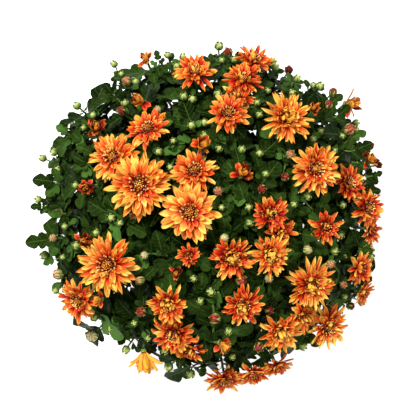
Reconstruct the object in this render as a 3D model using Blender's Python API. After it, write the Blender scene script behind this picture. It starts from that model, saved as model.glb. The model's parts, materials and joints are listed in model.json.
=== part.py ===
"""Pot chrysanthemum: a round cushion of lobed leaves, orange double blooms and buds, in a plain plastic pot.

Metres, +Z up. The origin is the centre of the pot's underside. +X is right and +Y is up for someone who looks
straight down on the plant. Stems stand in holes in the potting mix, and each bloom sits on its own stalk's cup.
"""

import math
import random
from collections import namedtuple

import bmesh
import bpy
from mathutils import Matrix, Vector
from mathutils.bvhtree import BVHTree

# Fit between neighbouring solids
SEAT_GAP = 0.0003
CLEARANCE = 0.0006

# Pot: a plain moulded plastic pot with a turned-out rim, a foot ring and a centre boss
POT_HEIGHT = 0.148
POT_BASE_RADIUS = 0.072
POT_NECK_RADIUS = 0.094
POT_RIM_RADIUS = 0.101
POT_RIM_DEPTH = 0.018
POT_WALL = 0.0024
POT_FOOT_RISE = 0.003
POT_FOOT_WIDTH = 0.007
POT_BOSS_RADIUS = 0.016
POT_SEGMENTS = 32
DRAIN_HOLES = 6
DRAIN_RADIUS = 0.006
DRAIN_CIRCLE = 0.046

# Potting mix
SOIL_TOP = 0.134
SOIL_MOUND = 0.005
SOIL_SEGMENTS = 24
HOLE_DEPTH = 0.030
HOLE_RADIUS = 0.0056

# Crown: the blooms lie on a low dome
DOME_MID_Z = 0.182
DOME_RISE = 0.134
DOME_REACH = 0.192

# Leafy stems: two near the centre, the rest in a ring
INNER_STEMS = 2
OUTER_STEMS = 6
INNER_AIM = 0.048
OUTER_AIM = 0.128
INNER_FOOT = 0.013
OUTER_FOOT = 0.040
FORK_SHARE = 0.40
FORK_RISE = 0.052
STEM_RADIUS = 0.0040
STALK_RADIUS = 0.0015
PEDICEL_RADIUS = 0.0010
ROOT_SHARE = 0.55
NODE_SPACING = 0.0045
CUP_DEPTH = 0.004
NECK_ROOM = 0.016

# Leaves, as shares of a leaf's length: (along, aside) of one half, from the stalk to the upper lobe
LEAF_HALF = ((0.17, 0.030), (0.40, 0.33), (0.54, 0.15), (0.74, 0.27))
LEAF_RIB = 0.50
LEAF_RIB_DEPTH = 0.0014
LEAF_LONGEST = 0.052
LEAF_SHORTEST = 0.042
LEAF_SWINGS = (0, 0.8, -0.8, 1.6, -1.6)
LEAF_SHARE = 0.012
LEAF_DEPTH_COST = 0.5
LEAF_ARCH = 0.22
LEAF_CUP = 0.16
LEAF_HEADROOM = 0.004
LEAF_REACH = 0.183
LEAVES_MOST = 16
GOLDEN_TURN = math.pi * (3 - math.sqrt(5))
QUARTER = math.pi / 2

# How far back along its facing a stalk is aimed, the spans of its curve, and the shortest one
STALK_RULE = (0.030, 2, 0.022)
BUD_RULE = (0.010, 2, 0.012)
SHOOT_RULE = (0.030, 2, 0.020)

# Leafy shoots low round the pot
SKIRT_SHOOTS = 15
SKIRT_RADIUS = 0.122
SKIRT_Z = 0.172

Head = namedtuple("Head", "x y width tilt lift turn", defaults=(0, 0))
Bud = namedtuple("Bud", "x y width lift", defaults=(0,))
Form = namedtuple("Form", "petals layers spike_rise spike_reach breadth")
Piece = namedtuple("Piece", "points faces tree fat_tree centre radius")

# Open blooms as seen from above: place, width, tilt away from straight up, and height above the dome
BLOOMS = (
    Head(-0.0145, 0.0075, 0.058, 3, 0.004),
    Head(-0.0635, 0.0335, 0.066, 8, 0.006),
    Head(-0.0950, -0.0440, 0.063, 14, 0.006),
    Head(0.0815, 0.1005, 0.054, 14, 0.006),
    Head(0.1095, 0.0495, 0.054, 14, 0.006),
    Head(0.1045, -0.0635, 0.054, 22, 0.006),
    Head(0.0645, -0.0345, 0.047, 12, 0.007),
    Head(-0.0895, 0.0610, 0.054, 32, -0.013),
    Head(-0.0545, 0.0885, 0.045, 38),
    Head(-0.0095, 0.0465, 0.050, 32, -0.014),
    Head(0.0235, 0.1045, 0.043, 20, 0.005),
    Head(-0.0095, 0.1455, 0.044, 35, 0.004),
    Head(0.0385, 0.1385, 0.043, 45, -0.008),
    Head(0.0495, 0.1585, 0.040, 48, -0.006),
    Head(0.0325, 0.1215, 0.036, 34, -0.014),
    Head(0.0645, 0.0065, 0.038, 10, 0.000),
    Head(0.0735, -0.0130, 0.036, 22, -0.011),
    Head(0.0265, -0.0365, 0.048, 15, -0.008),
    Head(-0.0355, -0.0825, 0.044, 18, 0.004),
    Head(0.0380, -0.0845, 0.044, 12, 0.004),
    Head(-0.0305, -0.1125, 0.046, 28, -0.010),
    Head(-0.1245, -0.0795, 0.048, 40, -0.006),
    Head(0.0745, -0.1105, 0.048, 32, 0.004),
    Head(0.1225, -0.1065, 0.048, 40, -0.004),
    Head(0.0985, -0.0955, 0.038, 42, -0.016),
    Head(0.1625, 0.0115, 0.040, 42, -0.004),
    Head(0.1425, 0.0355, 0.040, 48, -0.010),
    Head(0.1195, -0.0075, 0.036, 15),
    Head(-0.0155, -0.0345, 0.025, 10, -0.004),
    Head(-0.0145, -0.1275, 0.036, 50, -0.020),
    Head(0.0200, -0.1600, 0.042, 60, -0.030),
    Head(0.0485, -0.1535, 0.036, 62, -0.022),
    Head(0.0725, -0.1465, 0.034, 62, -0.030),
    Head(0.1655, -0.0095, 0.034, 65, -0.016),
    Head(0.1545, -0.0485, 0.036, 50, -0.010),
    Head(0.1595, -0.0735, 0.027, 60, -0.016),
)

# Blooms that are just opening
OPENING = (
    Head(0.1435, 0.1180, 0.025, 60, -0.010),
    Head(0.1645, 0.0575, 0.018, 60, -0.010),
    Head(-0.1065, 0.0875, 0.022, 30, -0.006),
    Head(-0.1160, 0.0325, 0.016, 25),
    Head(-0.0040, 0.0725, 0.019, 20),
    Head(0.0355, 0.0435, 0.020, 10),
    Head(-0.0585, 0.1610, 0.016, 50, -0.016),
    Head(-0.0605, 0.1165, 0.019, 25),
    Head(-0.1200, -0.0215, 0.018, 20, -0.010),
    Head(0.0155, -0.1225, 0.019, 50, -0.012, 80),
    Head(-0.0255, -0.0510, 0.014, 25, -0.010),
    Head(-0.1030, -0.0790, 0.015, 30, -0.010),
    Head(0.1090, 0.1090, 0.016, 40, -0.012),
    Head(-0.0615, -0.1330, 0.034, 88, -0.036, 27),
)

# Buds that show colour, then the green ones that stand out of the crown's edge and between the blooms
BUDS = (
    Bud(0.0240, 0.1690, 0.012, -0.020),
    Bud(0.0855, 0.1515, 0.011, -0.022),
    Bud(0.1310, 0.1295, 0.011, -0.024),
    Bud(0.1255, 0.1155, 0.011, -0.012),
    Bud(0.1460, 0.0905, 0.014, -0.006),
    Bud(0.1775, 0.0555, 0.009, -0.012),
    Bud(0.0850, 0.0645, 0.011, -0.006),
    Bud(0.0570, 0.0305, 0.011, -0.004),
    Bud(0.0135, 0.0285, 0.012, -0.006),
    Bud(-0.0825, 0.1085, 0.010, -0.004),
    Bud(-0.0780, 0.1390, 0.011, -0.008),
    Bud(-0.0465, 0.1095, 0.009, -0.010),
    Bud(-0.1455, 0.0065, 0.010, -0.012),
    Bud(-0.1520, -0.0185, 0.011, -0.014),
    Bud(-0.1465, -0.0550, 0.013, -0.012),
    Bud(-0.0625, -0.0915, 0.013, -0.006),
    Bud(-0.0635, -0.0600, 0.011, -0.006),
    Bud(-0.0595, -0.0350, 0.010, -0.004),
    Bud(0.0110, -0.0975, 0.013, -0.004),
    Bud(0.0545, -0.1270, 0.012, -0.010),
    Bud(0.0360, -0.0595, 0.013, -0.006),
    Bud(0.1395, -0.0655, 0.009, -0.010),
    Bud(-0.1140, -0.1185, 0.014, -0.034),
    Bud(0.0145, 0.1757, 0.010, -0.020),
    Bud(0.0690, 0.1600, 0.010, -0.022),
    Bud(0.0935, 0.1420, 0.009, -0.018),
    Bud(0.1170, 0.1350, 0.010, -0.020),
    Bud(-0.0220, 0.1640, 0.009, -0.022),
    Bud(-0.1290, 0.1150, 0.009, -0.020),
    Bud(-0.1615, -0.0360, 0.010, -0.020),
    Bud(-0.1105, -0.0980, 0.009, -0.022),
    Bud(-0.0790, -0.1310, 0.010, -0.026),
    Bud(-0.0360, -0.1480, 0.010, -0.026),
    Bud(-0.0140, -0.1555, 0.010, -0.026),
    Bud(0.0990, -0.1285, 0.009, -0.020),
    Bud(-0.0450, 0.0672, 0.010, -0.006),
    Bud(-0.0125, 0.0930, 0.010, -0.004),
    Bud(0.0365, 0.0690, 0.009, -0.010),
    Bud(0.0545, 0.0655, 0.009, -0.010),
    Bud(0.0435, 0.0120, 0.009, -0.008),
    Bud(0.1290, -0.0310, 0.009, -0.006),
    Bud(-0.0920, 0.0020, 0.010, -0.006),
    Bud(0.0060, -0.0710, 0.010, -0.006),
    Bud(-0.0640, 0.0040, 0.009, -0.012),
    Bud(-0.1480, 0.0500, 0.009, -0.018),
)

FULL = Form(10, ((6, 1.0), (30, 0.80)), 60, 0.40, 0.84)
OPEN = Form(7, ((8, 1.0), (34, 0.78)), 62, 0.40, 0.80)
SMALL = Form(6, ((8, 1.0), (36, 0.76)), 62, 0.42, 0.78)
CUPPED = Form(6, ((66, 1.0),), 76, 0.62, 0.86)
FULL_FROM = 0.052
OPEN_FROM = 0.038

PETAL_KEEL = 0.0012
PETAL_WIDEST = 0.73
PETAL_ARCH = 0.05
ROLL_PER_METRE = 90
REACHES = (1.0, 0.90, 0.80, 0.70, 0.60, 0.50, 0.40, 0.30)

PLASTIC = ("pot_plastic", (0.235, 0.082, 0.040), 0.55)
MIX = ("potting_mix", (0.030, 0.020, 0.013), 0.95)
LEAF = ("leaf_green", (0.030, 0.092, 0.022), 0.55)
PETAL = ("petal_orange", (0.78, 0.20, 0.030), 0.60)
PETAL_DEEP = ("petal_deep_orange", (0.62, 0.11, 0.022), 0.60)


def clear_scene():
    for item in list(bpy.data.objects):
        bpy.data.objects.remove(item)


def material(finish):
    """A Principled material of a finish's name, linear colour and roughness."""
    name, colour, roughness = finish
    if name in bpy.data.materials:
        return bpy.data.materials[name]
    made = bpy.data.materials.new(name)
    made.use_nodes = True
    shader = made.node_tree.nodes["Principled BSDF"]
    shader.inputs["Base Color"].default_value = (*colour, 1)
    shader.inputs["Roughness"].default_value = roughness
    shader.inputs["Metallic"].default_value = 0
    made.diffuse_color = (*colour, 1)
    return made


def add_object(name, mesh, finish):
    made = bpy.data.objects.new(name, mesh)
    mesh.materials.append(material(finish))
    bpy.context.scene.collection.objects.link(made)
    return made


def mesh_from(bm, name):
    """Closes a bmesh into a mesh of triangles with its faces pointing out."""
    bmesh.ops.triangulate(bm, faces=bm.faces[:])
    bmesh.ops.recalc_face_normals(bm, faces=bm.faces[:])
    mesh = bpy.data.meshes.new(name)
    bm.to_mesh(mesh)
    bm.free()
    return mesh


def applied(target):
    """The mesh of an object with its modifiers applied, in place of its own."""
    bpy.context.view_layer.update()
    graph = bpy.context.evaluated_depsgraph_get()
    mesh = bpy.data.meshes.new_from_object(target.evaluated_get(graph))
    target.modifiers.clear()
    target.data = mesh
    return target


def boolean(target, operation, others, solver):
    """Joins other objects to a target, or cuts them from it, then removes them."""
    group = bpy.data.collections.new(target.name + "_pieces")
    bpy.context.scene.collection.children.link(group)
    for item in others:
        bpy.context.scene.collection.objects.unlink(item)
        group.objects.link(item)
    step = target.modifiers.new("join", "BOOLEAN")
    step.operation = operation
    step.operand_type = "COLLECTION"
    step.collection = group
    step.solver = solver
    applied(target)
    for item in others:
        bpy.data.objects.remove(item)
    bpy.data.collections.remove(group)
    return target


# Growing solids

def ring(centre, across, up, half_width, half_height, sides):
    """The corners of one cross-section, in the plane of across and up."""
    turn = 2 * math.pi / sides
    return [
        centre
        + across * half_width * math.cos((i + 0.5) * turn)
        + up * half_height * math.sin((i + 0.5) * turn)
        for i in range(sides)
    ]


def start(bm, first, second):
    """A closed prism between two rings, and the face of its second end."""
    face = bm.faces.new([bm.verts.new(point) for point in first])
    grown = bmesh.ops.extrude_face_region(bm, geom=[face])["geom"]
    face = next(item for item in grown if isinstance(item, bmesh.types.BMFace))
    for corner, point in zip(face.verts, second):
        corner.co = point
    return face


def grow(bm, face, points):
    """Extrudes a face and moves its corners to the points, in their order."""
    face = bmesh.ops.extrude_discrete_faces(bm, faces=[face])["faces"][0]
    for corner, point in zip(face.verts, points):
        corner.co = point
    return face


def come_to(bm, face, point):
    """Brings a face's middle to a point."""
    bmesh.ops.poke(bm, faces=[face])["verts"][0].co = point


def frames(path):
    """For each point of a path, the direction there and one way across it, which doesn't twist."""
    found = []
    for i in range(len(path)):
        direction = (path[min(i + 1, len(path) - 1)] - path[max(i - 1, 0)]).normalized()
        across = found[-1][1] if found else direction.orthogonal()
        found.append((direction, (across - direction * across.dot(direction)).normalized()))
    return found


def tube(bm, path, radii, sides):
    """A closed tube along a path, one radius for each point. Returns the face at its far end."""
    rings = [
        ring(point, across, direction.cross(across), radius, radius, sides)
        for point, (direction, across), radius in zip(path, frames(path), radii)
    ]
    face = start(bm, rings[0], rings[1])
    for points in rings[2:]:
        face = grow(bm, face, points)
    return face


# Clear space

def piece_of(bm):
    """A bmesh's points and triangles with the trees that test it, and frees the bmesh."""
    bmesh.ops.triangulate(bm, faces=bm.faces[:])
    bmesh.ops.recalc_face_normals(bm, faces=bm.faces[:])
    bm.normal_update()
    points = [corner.co.copy() for corner in bm.verts]
    fat_points = [corner.co + corner.normal * CLEARANCE for corner in bm.verts]
    bm.verts.index_update()
    faces = [[corner.index for corner in face.verts] for face in bm.faces]
    bm.free()
    centre = sum(points, Vector()) / len(points)
    return Piece(
        points,
        faces,
        BVHTree.FromPolygons(points, faces),
        BVHTree.FromPolygons(fat_points, faces),
        centre,
        max((point - centre).length for point in points) + CLEARANCE,
    )


def near(piece, other):
    return (piece.centre - other.centre).length < piece.radius + other.radius


def is_clear(piece, others):
    """Whether a piece, made a clearance larger, crosses none of the others."""
    return not any(near(piece, other) and piece.fat_tree.overlap(other.tree) for other in others)


def object_of(piece, name, finish):
    mesh = bpy.data.meshes.new(name)
    mesh.from_pydata(piece.points, [], piece.faces)
    return add_object(name, mesh, finish)


# Pot and potting mix

def turned(profile, segments, name):
    """A closed solid turned about Z from an (r, z) outline that starts and ends on the axis."""
    bm = bmesh.new()
    corners = [bm.verts.new((radius, 0, height)) for radius, height in profile]
    edges = [bm.edges.new(pair) for pair in zip(corners, corners[1:])]
    bmesh.ops.spin(
        bm, geom=corners + edges, axis=(0, 0, 1), cent=(0, 0, 0), angle=2 * math.pi,
        steps=segments, use_merge=True,
    )
    bmesh.ops.remove_doubles(bm, verts=bm.verts[:], dist=0.00001)
    return mesh_from(bm, name)


def pin(radius, low, high, sides, place):
    """A round cutter that stands on Z at a place."""
    bm = bmesh.new()
    bmesh.ops.create_cone(
        bm, cap_ends=True, segments=sides, radius1=radius, radius2=radius, depth=high - low,
        matrix=Matrix.Translation((place[0], place[1], (low + high) / 2)),
    )
    cutter = add_object("cutter", mesh_from(bm, "cutter"), MIX)
    cutter.hide_render = True
    cutter.display_type = "WIRE"
    return cutter


def on_circle(radius, share):
    """A point on a circle, at a share of its full turn."""
    return radius * math.cos(2 * math.pi * share), radius * math.sin(2 * math.pi * share)


def build_pot():
    floor_top = POT_FOOT_RISE + POT_WALL
    neck_z = POT_HEIGHT - POT_RIM_DEPTH
    foot_inner = POT_BASE_RADIUS - POT_FOOT_WIDTH
    outline = (
        (0, 0),
        (POT_BOSS_RADIUS, 0),
        (POT_BOSS_RADIUS + 0.002, POT_FOOT_RISE),
        (foot_inner - 0.002, POT_FOOT_RISE),
        (foot_inner, 0),
        (POT_BASE_RADIUS - 0.001, 0),
        (POT_BASE_RADIUS, 0.001),
        (POT_NECK_RADIUS, neck_z),
        (POT_RIM_RADIUS - 0.001, neck_z + 0.002),
        (POT_RIM_RADIUS, POT_HEIGHT),
        (POT_RIM_RADIUS - 0.004, POT_HEIGHT),
        (POT_NECK_RADIUS - POT_WALL, neck_z),
        (POT_BASE_RADIUS - POT_WALL, floor_top),
        (0, floor_top),
    )
    pot = add_object("pot", turned(outline, POT_SEGMENTS, "pot"), PLASTIC)
    holes = [
        pin(DRAIN_RADIUS, -0.01, floor_top + 0.01, 8, on_circle(DRAIN_CIRCLE, i / DRAIN_HOLES))
        for i in range(DRAIN_HOLES)
    ]
    return boolean(pot, "DIFFERENCE", holes, "EXACT")


def build_soil(feet):
    """The filled inside of the pot, mounded, with a plain hole for each stem."""
    floor = POT_FOOT_RISE + POT_WALL + SEAT_GAP
    slope = (POT_NECK_RADIUS - POT_BASE_RADIUS) / (POT_HEIGHT - POT_RIM_DEPTH - 0.001)
    low_radius = POT_BASE_RADIUS - POT_WALL - 2 * SEAT_GAP
    edge_radius = low_radius + slope * (SOIL_TOP - floor - SOIL_MOUND)
    outline = (
        (0, floor),
        (low_radius, floor),
        (edge_radius, SOIL_TOP - SOIL_MOUND),
        (0.62 * edge_radius, SOIL_TOP - 0.3 * SOIL_MOUND),
        (0, SOIL_TOP),
    )
    soil = add_object("potting_mix", turned(outline, SOIL_SEGMENTS, "potting_mix"), MIX)
    chance = random.Random(3)
    for corner in soil.data.vertices:
        if corner.co.z > SOIL_TOP - 0.6 * SOIL_MOUND:
            corner.co.z += chance.uniform(-0.0015, 0.0015)
    holes = [
        pin(HOLE_RADIUS, SOIL_TOP - HOLE_DEPTH, SOIL_TOP + 0.02, 6, foot) for foot in feet
    ]
    return boolean(soil, "DIFFERENCE", holes, "EXACT")


# Blooms

def dome_z(x, y):
    share = min(1.0, math.hypot(x, y) / DOME_REACH)
    return DOME_MID_Z + DOME_RISE * math.sqrt(1 - share * share)


def dome_depth(point):
    """About how deep a point is under the dome, straight in from its surface."""
    out = math.hypot(point.x, point.y) / DOME_REACH
    up = max(0.0, point.z - DOME_MID_Z) / DOME_RISE
    return DOME_RISE * (1 - math.hypot(out, up))


def head_place(head):
    """A head's middle and the direction that it faces."""
    bearing = math.atan2(head.y, head.x) + math.radians(head.turn)
    tilt = math.radians(head.tilt)
    facing = Vector((math.sin(tilt) * math.cos(bearing), math.sin(tilt) * math.sin(bearing), math.cos(tilt)))
    return Vector((head.x, head.y, dome_z(head.x, head.y) + head.lift)), facing


def core_rings(head, form):
    """(radius, height) of the rings that a head's petals grow between, in its own frame."""
    radius = max(0.0030, 0.088 * head.width)
    layer = max(0.0013, 0.032 * head.width)
    rings = [(0.85 * radius, 0.0)]
    rings += [((1.0 - 0.14 * i) * radius, (i + 1) * layer) for i in range(len(form.layers))]
    rings.append((0.45 * radius, (len(form.layers) + 0.9) * layer))
    return rings


def to_world(head):
    """The matrix from a head's own frame, where +Z faces out and the seat is the origin."""
    place, facing = head_place(head)
    roll = Matrix.Rotation(ROLL_PER_METRE * (head.x + 0.7 * head.y), 4, "Z")
    return Matrix.Translation(place) @ facing.to_track_quat("Z", "Y").to_matrix().to_4x4() @ roll


def petal_points(head, form, layer, index, reach):
    """A petal's broad section, as two low and two high corners, and its tip, in the head's own frame."""
    rise, share = form.layers[layer]
    rise = math.radians(rise)
    rings = core_rings(head, form)
    root_radius = (rings[layer][0] + rings[layer + 1][0]) / 2
    root_height = (rings[layer][1] + rings[layer + 1][1]) / 2
    step = 2 * math.pi / form.petals
    azimuth = (index + 0.5 + 0.5 * (layer % 2)) * step
    outward = Vector((math.cos(azimuth), math.sin(azimuth), 0))
    aside = Vector((-math.sin(azimuth), math.cos(azimuth), 0))
    along = outward * math.cos(rise) + Vector((0, 0, math.sin(rise)))
    normal = aside.cross(along) * -1
    length = max(0.004, (head.width / 2 * share - root_radius) * reach)
    if rise > 1:
        length = head.width * 0.62 * reach
    root_azimuth = (index + 0.5) * step
    root = Vector((root_radius * math.cos(root_azimuth), root_radius * math.sin(root_azimuth), root_height))
    middle = root + along * (PETAL_WIDEST * length) + normal * (PETAL_ARCH * length)
    wide = form.breadth * math.hypot(middle.x, middle.y) * math.tan(step / 2)
    keel = middle - normal * PETAL_KEEL
    corners = [keel, keel, middle + aside * wide, middle - aside * wide]
    return corners, root + along * length - Vector((0, 0, PETAL_ARCH * length)) * math.cos(rise)


def facet_corners(head, form, layer, index):
    """The four corners of the core's facet that a petal grows from, in the order of petal_points."""
    rings = core_rings(head, form)
    step = 2 * math.pi / form.petals
    low, high = rings[layer], rings[layer + 1]
    return [
        Vector((radius * math.cos(i * step), radius * math.sin(i * step), height))
        for i, (radius, height) in ((index, low), (index + 1, low), (index + 1, high), (index, high))
    ]


def finish_petal(bm, face, tip):
    """Joins a broad section's two low corners in one keel, and brings the petal to its tip."""
    low = [a for a in face.verts if any(a is not b and (a.co - b.co).length < 0.00001 for b in face.verts)]
    bmesh.ops.pointmerge(bm, verts=low, merge_co=low[0].co)
    come_to(bm, face, tip)


def petal_piece(head, form, layer, index, reach):
    """One petal by itself, to test whether it is clear."""
    bm = bmesh.new()
    corners, tip = petal_points(head, form, layer, index, reach)
    face = start(bm, facet_corners(head, form, layer, index), corners)
    finish_petal(bm, face, tip)
    bm.transform(to_world(head))
    return piece_of(bm)


def clear_reach(head, form, layer, index, others):
    """The longest reach at which a petal stays clear of the heads beside it."""
    for reach in REACHES:
        if is_clear(petal_piece(head, form, layer, index, reach), others):
            return reach
    return REACHES[-1]


def head_piece(head, form, others):
    """A head as one solid: a small core, each of whose facets grows into a petal."""
    rings = core_rings(head, form)
    bm = bmesh.new()
    step = 2 * math.pi / form.petals
    circles = [
        [Vector((radius * math.cos(i * step), radius * math.sin(i * step), height)) for i in range(form.petals)]
        for radius, height in rings
    ]
    top = start(bm, circles[0], circles[1])
    for circle in circles[2:]:
        top = grow(bm, top, circle)
    come_to(bm, top, Vector((0, 0, rings[-1][1] + 0.03 * head.width)))
    bm.faces.ensure_lookup_table()
    facets = [face for face in bm.faces if len(face.verts) == 4]
    for facet in facets:
        middle = facet.calc_center_median()
        index = int((math.atan2(middle.y, middle.x) % (2 * math.pi)) / step)
        layer = next(k for k, pair in enumerate(zip(rings, rings[1:])) if middle.z < pair[1][1])
        if layer == len(form.layers):
            rise = math.radians(form.spike_rise)
            azimuth = (index + 0.5) * step
            reach = form.spike_reach * head.width / 2
            way = Vector((math.cos(azimuth) * math.cos(rise), math.sin(azimuth) * math.cos(rise), math.sin(rise)))
            come_to(bm, facet, middle + way * reach)
            continue
        reach = clear_reach(head, form, layer, index, others)
        corners, tip = petal_points(head, form, layer, index, reach)
        wanted = facet_corners(head, form, layer, index)
        order = [
            min(range(4), key=lambda k: (wanted[k] - corner.co).length) for corner in facet.verts
        ]
        face = grow(bm, facet, [corners[k] for k in order])
        finish_petal(bm, face, tip)
    bm.transform(to_world(head))
    return piece_of(bm)


def form_of(head):
    if head.width >= FULL_FROM:
        return FULL
    return OPEN if head.width >= OPEN_FROM else SMALL


# Stems, stalks and buds

def stem_plan():
    """(aim, foot) in plan for each stem: where it heads for on the dome, and where it stands."""
    inner = [
        (on_circle(INNER_AIM, i / INNER_STEMS), on_circle(INNER_FOOT, i / INNER_STEMS))
        for i in range(INNER_STEMS)
    ]
    outer = [
        (on_circle(OUTER_AIM, (i + 0.35) / OUTER_STEMS), on_circle(OUTER_FOOT, (i + 0.35) / OUTER_STEMS))
        for i in range(OUTER_STEMS)
    ]
    return inner + outer


def bezier(first, pull, push, last, spans):
    """Points along a cubic curve."""
    found = []
    for i in range(spans + 1):
        t = i / spans
        found.append(
            first * (1 - t) ** 3 + pull * 3 * t * (1 - t) ** 2 + push * 3 * t * t * (1 - t) + last * t ** 3
        )
    return found


def along(path, share):
    """The point at a share of a path's spans, the direction there and the way across it."""
    place = share * (len(path) - 1)
    i = min(int(place), len(path) - 2)
    across = frames(path)[i][1]
    return path[i].lerp(path[i + 1], place - i), (path[i + 1] - path[i]).normalized(), across


def main_axis(aim, foot):
    """A stem's own axis, from inside its hole to its fork."""
    base = Vector((*foot, SOIL_TOP - HOLE_DEPTH + SEAT_GAP))
    reach = Vector(aim) * FORK_SHARE
    fork = Vector((*reach, SOIL_TOP + FORK_RISE + 0.02 * (OUTER_AIM - Vector(aim).length) / OUTER_AIM))
    rise = Vector((0, 0, HOLE_DEPTH + 0.012))
    return [base] + bezier(base + rise, base + rise * 1.5, fork - rise * 0.5, fork, 2)


def attach_points(branches, target, shortest):
    """Places to grow from on a stem's branches, the best one first, apart from what grows there already."""
    found = []
    taken = [branch[0] for branch in branches[1:]]
    for branch in branches:
        for i in range(10):
            point, direction, across = along(branch, 0.30 + 0.07 * i)
            gap = (target - point).length
            if gap < shortest or point.z > target.z - 0.15 * gap:
                continue
            if all((point - other).length > NODE_SPACING for other in taken):
                found.append((gap, point, direction))
    return sorted(found, key=lambda item: item[0])


def stalk_paths(branches, seat, facing, back, spans, shortest):
    """Curves from a stem's branches to a seat, which arrive along the way it faces."""
    for gap, point, direction in attach_points(branches, seat - facing * back, shortest):
        chord = (seat - point).length
        lead = (direction * 0.3 + (seat - point).normalized()).normalized()
        for sway in (0, 0.012, -0.012, 0.024, -0.024):
            swing = lead.cross(Vector((0, 0, 1))).normalized() * sway
            yield bezier(
                point, point + lead * 0.30 * chord + swing,
                seat - facing * min(0.45 * chord, 0.035) + swing * 0.4, seat, spans,
            )


def stalk_piece(head, form, path):
    """A bloom's stalk, widened at its end to the green cup that the bloom sits on."""
    place, facing = head_place(head)
    cup_radius = 0.80 * core_rings(head, form)[0][0]
    points = path[:-1] + [place - facing * CUP_DEPTH, place - facing * SEAT_GAP]
    radii = [STALK_RADIUS * ROOT_SHARE] + [STALK_RADIUS] * (len(points) - 2) + [cup_radius]
    bm = bmesh.new()
    tube(bm, points, radii, 4)
    return piece_of(bm)


def bud_piece(bud, facing, path):
    """A bud on its stalk: a swelling that comes to a point."""
    place = path[-1]
    half = bud.width / 2
    points = path + [place + facing * 0.85 * half]
    radii = [PEDICEL_RADIUS * 0.7] + [PEDICEL_RADIUS] * (len(path) - 1) + [1.15 * half]
    bm = bmesh.new()
    face = tube(bm, points, radii, 4)
    come_to(bm, face, place + facing * 2.0 * half)
    return piece_of(bm)


def bud_place(bud):
    facing = Vector((bud.x, bud.y, 0)) * (0.5 / DOME_REACH) + Vector((0, 0, 0.5))
    facing.normalize()
    middle = Vector((bud.x, bud.y, dome_z(bud.x, bud.y) + bud.lift))
    return middle - facing * bud.width / 2, facing


# Leaves

def leaf_piece(root, way, normal, length, droop):
    """A lobed leaf: a thin lens, deepest at its rib, folded along it and arched towards its tip."""
    aside = way.cross(normal).normalized()
    normal = aside.cross(way).normalized()

    def at(share, side, depth=0.0):
        """A point of the leaf, by its share along and aside, and how deep it is under the upper face."""
        bend = -droop * share * share + LEAF_CUP * abs(side)
        return root + way * share * length + aside * side * length + normal * (bend * length - depth)

    bm = bmesh.new()
    right = [bm.verts.new(at(share, side)) for share, side in LEAF_HALF]
    left = [bm.verts.new(at(share, -side)) for share, side in LEAF_HALF]
    base = bm.verts.new(at(0.0, 0.0))
    tip = bm.verts.new(at(1.0, 0.0))
    rib = bm.verts.new(at(LEAF_RIB, 0.0))
    keel = bm.verts.new(at(LEAF_RIB, 0.0, LEAF_RIB_DEPTH))
    bm.faces.new((base, right[0], left[0]))
    bm.faces.new((right[0], rib, left[0]))
    for half in (right, left):
        bm.faces.new((base, half[0], keel))
        for middle in (rib, keel):
            for near_edge, far_edge in zip(half, half[1:] + [tip]):
                bm.faces.new((near_edge, far_edge, middle))
    return piece_of(bm)


def leaf_places(branches, chance):
    """Roots and ways for leaves along a stem's branches, about a golden turn apart, the outer ones first."""
    found = []
    turn = chance.uniform(0, 2 * math.pi)
    for number, branch in enumerate(branches):
        run = sum((b - a).length for a, b in zip(branch, branch[1:]))
        count = max(1, int(run / 0.009))
        for i in range(count):
            point, direction, across = along(branch, (i + 0.7) / (count + 0.4))
            turn += GOLDEN_TURN
            facet = round(turn / QUARTER) * QUARTER
            side = across * math.cos(facet) + direction.cross(across) * math.sin(facet)
            found.append((number, point, direction, side))
    return sorted(found, key=lambda item: dome_z(item[1].x, item[1].y) - item[1].z)


def leaf_choices(stem, others, chance):
    """Every leaf that a stem's branches could bear, clear of the heads, the stems and the other branches."""
    found = []
    for number, point, direction, side in leaf_places(stem.branches[1:], chance):
        beside = others + stem.pieces[1:1 + number] + stem.pieces[2 + number:]
        outward = Vector((point.x, point.y, 0)) / DOME_REACH + Vector((0, 0, 0.55))
        outward.normalize()
        length = chance.uniform(LEAF_SHORTEST, LEAF_LONGEST)
        for swing in LEAF_SWINGS:
            way = Matrix.Rotation(swing, 3, direction) @ side + direction * 0.45 + outward * 0.15
            way.normalize()
            tip = point + way * length
            if abs(way.dot(outward)) > 0.9 or tip.z < SOIL_TOP + 0.012:
                continue
            if tip.z > dome_z(tip.x, tip.y) + LEAF_HEADROOM or math.hypot(tip.x, tip.y) > LEAF_REACH:
                continue
            leaf = leaf_piece(point, way, outward, length, LEAF_ARCH)
            if is_clear(leaf, beside):
                found.append(leaf)
    return found


def openness(leaf, seats, leaves):
    """How far a leaf is from the blooms and the other leaves, less a cost for its depth in the crown."""
    room = [(leaf.centre - place).length - half_width for place, half_width in seats]
    room += [(leaf.centre - other.centre).length - LEAF_SHARE for other in leaves]
    return min(room) - LEAF_DEPTH_COST * dome_depth(leaf.centre)


def grow_leaves(stem, others, seats, leaves, chance):
    """Leaves in the widest gaps first. Returns those that the stem was given."""
    choices = leaf_choices(stem, others, chance)
    chosen = []
    while choices and len(chosen) < LEAVES_MOST:
        best = max(choices, key=lambda leaf: openness(leaf, seats, leaves + chosen))
        choices.remove(best)
        if is_clear(best, chosen):
            chosen.append(best)
    return chosen


def skirt_places():
    """Seats and directions for the low leafy shoots."""
    found = []
    for i in range(SKIRT_SHOOTS):
        x, y = on_circle(SKIRT_RADIUS, i / SKIRT_SHOOTS)
        way = Vector((x, y, 0)).normalized() + Vector((0, 0, 0.25 + 0.2 * (i % 2)))
        found.append((Vector((x, y, SKIRT_Z + 0.012 * (i % 3))), way.normalized()))
    return found


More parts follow.
